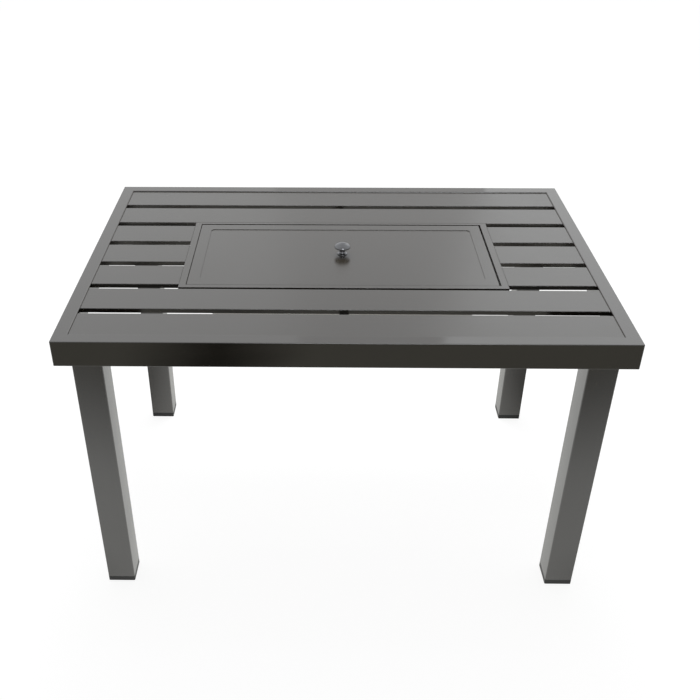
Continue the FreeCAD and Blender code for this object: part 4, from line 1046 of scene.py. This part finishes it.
class FIREPIT_OT_stage(bpy.types.Operator):
    """Floor, room light, lamps and the photograph's camera"""
    bl_idname = "firepit.stage"
    bl_label = "Stage"

    def execute(self, context):
        self.floor()
        self.room()
        self.lamps()
        self.camera()
        context.scene.view_settings.view_transform = "Standard"
        return {"FINISHED"}

    def floor(self):
        """White floor; in mirror images and for other light it falls off towards the front."""
        reach = 12.0
        seen_paint = (0.2, 0.2, 0.2, 1)
        seen_glow = 0.91
        mesh = bpy.data.meshes.new("floor")
        mesh.from_pydata([(-reach, -reach, 0), (reach, -reach, 0), (reach, reach, 0),
                          (-reach, reach, 0)], [], [(0, 1, 2, 3)])
        floor = bpy.data.objects.new("floor", mesh)
        bpy.context.scene.collection.objects.link(floor)
        material = bpy.data.materials.new("floor_white")
        material.use_nodes = True
        tree = material.node_tree
        tree.nodes.clear()
        output = tree.nodes.new("ShaderNodeOutputMaterial")
        place = add(tree, "ShaderNodeTexCoord").outputs["Object"]
        parts = add(tree, "ShaderNodeSeparateXYZ", {0: place})
        # Painted shade: for light other than the camera's and mirror images, the floor is darker towards
        # the front
        lit = ramp(tree, parts.outputs["Y"], -1.20, -0.55, low=0.02, high=0.80)
        shade = add(tree, "ShaderNodeCombineColor", {0: lit, 1: lit, 2: lit})
        dull = add(tree, "ShaderNodeBsdfDiffuse", {"Color": shade.outputs[0]})
        pale = add(tree, "ShaderNodeBsdfDiffuse", {"Color": seen_paint})
        glow = add(tree, "ShaderNodeEmission", {"Color": (1, 1, 1, 1), "Strength": seen_glow})
        seen = add(tree, "ShaderNodeAddShader", {0: pale.outputs[0], 1: glow.outputs[0]})
        mirrored = self.mirrored_floor(tree, place, parts)
        chosen = by_ray(tree, seen=seen, mirrored=mirrored, lighting=dull)
        tree.links.new(chosen, output.inputs["Surface"])
        mesh.materials.append(material)

    def mirrored_floor(self, tree, place, parts):
        """Floor as the legs and the apron mirror it: painted reflection, with painted shade beside and
        behind the legs and towards the right, and a painted dark patch far in front.
        """
        stage = settings().stage
        aside = parts.outputs["X"]
        back = parts.outputs["Y"]
        wander_width = 0.5
        streak_scale = (1.5, 24, 1)
        # Places on the floor are metres from the table's middle, to the right and to the back
        near = ramp(tree, back, -1.60, -0.80, low=0.03, high=1.03)
        beside = ramp(tree, math_node(tree, "ABSOLUTE", aside), 0.50, 0.64, high=0.62)
        behind = ramp(tree, back, -0.50, -0.25)
        right_side = ramp(tree, aside, 0.35, 0.62, high=0.12)
        # Painted shade: the mirrored floor is darker beside and behind the legs and towards the right
        painted_shade = math_node(tree, "ADD", math_node(tree, "MULTIPLY", beside, behind), right_side)
        near_level = math_node(tree, "SUBTRACT", near, painted_shade)
        smear = add(tree, "ShaderNodeMapping", {"Vector": place, "Scale": streak_scale})
        streak = add(tree, "ShaderNodeTexNoise", {"Vector": smear.outputs["Vector"], "Scale": 1.0,
                                                  "Detail": 3.0})
        wander = math_node(tree, "MULTIPLY_ADD", streak.outputs["Fac"], wander_width,
                           -wander_width / 2)
        # Painted reflection: a dark, streaked patch far in front, which the apron mirrors
        patch_middle = math_node(tree, "ADD", aside, stage.dark_patch)
        patch_side = math_node(tree, "ADD", math_node(tree, "ABSOLUTE", patch_middle), wander)
        far_level = ramp(tree, patch_side, 0.02, 0.33, low=0.05, high=stage.apron_mirror)
        beyond = ramp(tree, back, -1.41, -1.38)
        rise = math_node(tree, "MULTIPLY", math_node(tree, "SUBTRACT", near_level, far_level), beyond)
        level = math_node(tree, "ADD", rise, far_level)
        tint = tree.nodes.new("ShaderNodeMix")
        tint.data_type = "RGBA"
        share, far_colour, near_colour = (tint.inputs[number] for number in (0, 6, 7))
        far_colour.default_value = (*stage.floor_tint, 1)
        near_colour.default_value = (*stage.near_floor_tint, 1)
        tree.links.new(beyond, share)
        return add(tree, "ShaderNodeEmission", {"Color": tint.outputs[2], "Strength": level})

    def room(self):
        """White room; in mirror images it is a painted reflection, darker in the middle and in front,
        and holds a painted glint, a small bright spot that only mirror images see.
        """
        stage = settings().stage
        glint_outer = 0.22
        glint_inner = 0.14
        world = bpy.data.worlds.new("room")
        bpy.context.scene.world = world
        world.use_nodes = True
        tree = world.node_tree
        tree.nodes.clear()
        output = tree.nodes.new("ShaderNodeOutputWorld")
        direction = add(tree, "ShaderNodeTexCoord").outputs["Generated"]
        parts = add(tree, "ShaderNodeSeparateXYZ", {0: direction})
        back = parts.outputs["Y"]
        # Places in the room are parts of a direction of length 1
        level = ramp(tree, back, -0.35, 0.25, low=stage.front_light, high=stage.back_light)
        light = add(tree, "ShaderNodeBackground", {"Color": (1, 1, 1, 1), "Strength": level})
        seen = add(tree, "ShaderNodeBackground", {"Color": (1, 1, 1, 1), "Strength": 1.0})
        # Painted reflection: the room that mirror images see is darker in the middle and towards the
        # front
        sideways = math_node(tree, "ABSOLUTE", parts.outputs["X"])
        mirror_level = ramp(tree, sideways, 0.1, 0.55, low=stage.mirror_middle,
                            high=stage.mirror_sides)
        before = ramp(tree, back, -0.45, 0.15, low=stage.mirror_front)
        mirror_room = math_node(tree, "MULTIPLY", mirror_level, before)
        # Painted glint: a small bright spot that only mirror images see, for the lid knob's highlight;
        # it is no lamp
        towards = Vector(stage.glint_direction).normalized()
        toward_lamp = add(tree, "ShaderNodeVectorMath", {0: direction, 1: towards},
                          operation="DOT_PRODUCT")
        spot = ramp(tree, toward_lamp.outputs["Value"], math.cos(glint_outer),
                    math.cos(glint_inner), high=stage.glint)
        mirror_room = math_node(tree, "ADD", mirror_room, spot)
        mirrored = add(tree, "ShaderNodeBackground", {"Color": (*stage.room_tint, 1),
                                                      "Strength": mirror_room})
        chosen = by_ray(tree, seen=seen, mirrored=mirrored, lighting=light)
        tree.links.new(chosen, output.inputs["Surface"])

    def lamps(self):
        """Soft lamp over the table and two softboxes behind it."""
        stage = settings().stage
        aim = Vector((0, 0, 0.6))
        # Power, width and height, and place of each lamp
        for name, watts, size, place in (
                ("overhead", stage.lamp_watts, (1.4, 1.0), (0.0, 1.0, 2.5)),
                ("left_softbox", stage.left_watts, (2.0, 2.3), (-1.26, 3.55, 2.52)),
                ("right_softbox", stage.right_watts, (1.8, 2.0), (1.75, 3.25, 2.75))):
            lamp = bpy.data.lights.new(name, "AREA")
            lamp.shape = "RECTANGLE"
            lamp.size, lamp.size_y = size
            lamp.energy = watts
            lamp.color = stage.lamp_tint
            item = bpy.data.objects.new(name, lamp)
            bpy.context.scene.collection.objects.link(item)
            item.visible_glossy = name != "overhead"
            item.location = place
            item.rotation_mode = "QUATERNION"
            item.rotation_quaternion = (aim - Vector(place)).to_track_quat("-Z", "Y")

    def camera(self):
        """The photograph's camera."""
        stage = settings().stage
        lens = bpy.data.cameras.new("photo_camera")
        lens.sensor_fit = "HORIZONTAL"
        lens.sensor_width = 36
        lens.lens = stage.focal_length
        lens.shift_x = stage.shift_x
        lens.shift_y = stage.shift_y
        lens.clip_start = 0.05
        item = bpy.data.objects.new("photo_camera", lens)
        bpy.context.scene.collection.objects.link(item)
        aim = Vector(stage.camera_aim).normalized()
        right = Vector(stage.camera_side)
        right = (right - aim * right.dot(aim)).normalized()
        up = right.cross(aim)
        turn = Matrix((right, up, -aim)).transposed()
        item.matrix_world = Matrix.Translation(Vector(stage.camera_place)) @ turn.to_4x4()
        bpy.context.scene.camera = item


OPERATORS = [FIREPIT_OT_finishes, FIREPIT_OT_border, FIREPIT_OT_slats, FIREPIT_OT_trim,
             FIREPIT_OT_sheet_edges, FIREPIT_OT_lid_knob, FIREPIT_OT_fasteners, FIREPIT_OT_welds,
             FIREPIT_OT_controls, FIREPIT_OT_stage]


class FirePitSettings(bpy.types.PropertyGroup):
    paint: PointerProperty(type=PaintSettings, name="Paint", description="Painted surfaces")
    metal: PointerProperty(type=MetalSettings, name="Metal", description="Bare metals")
    fit: PointerProperty(type=FitSettings, name="Fit", description="Sizes read from the photograph")
    stage: PointerProperty(type=StageSettings, name="Stage", description="Camera and light")


class FIREPIT_PT_panel(bpy.types.Panel):
    """Settings and build steps of the fire pit table"""
    bl_idname = "FIREPIT_PT_panel"
    bl_label = "Fire Pit Table"
    bl_space_type = "VIEW_3D"
    bl_region_type = "UI"
    bl_category = "Fire Pit"

    def draw(self, context):
        table = context.scene.fire_pit
        for part in (table.paint, table.metal, table.fit, table.stage):
            box = self.layout.box()
            for key in part.bl_rna.properties.keys():
                if key not in ("rna_type", "name"):
                    box.prop(part, key)
        for operator in OPERATORS:
            self.layout.operator(operator.bl_idname)


CLASSES = [PaintSettings, MetalSettings, FitSettings, StageSettings, FirePitSettings, *OPERATORS,
           FIREPIT_PT_panel]


def register():
    """Makes the settings, the operators and the panel known to Blender."""
    for item in CLASSES:
        bpy.utils.register_class(item)
    bpy.types.Scene.fire_pit = PointerProperty(type=FirePitSettings)


def unregister():
    """Takes them out again."""
    del bpy.types.Scene.fire_pit
    for item in reversed(CLASSES):
        bpy.utils.unregister_class(item)


def main():
    """Builds every piece in turn."""
    register()
    for operator in OPERATORS:
        group, action = operator.bl_idname.split(".")
        if getattr(getattr(bpy.ops, group), action)() != {"FINISHED"}:
            raise RuntimeError(operator.bl_label + " did not finish")


if __name__ == "__main__":
    main()
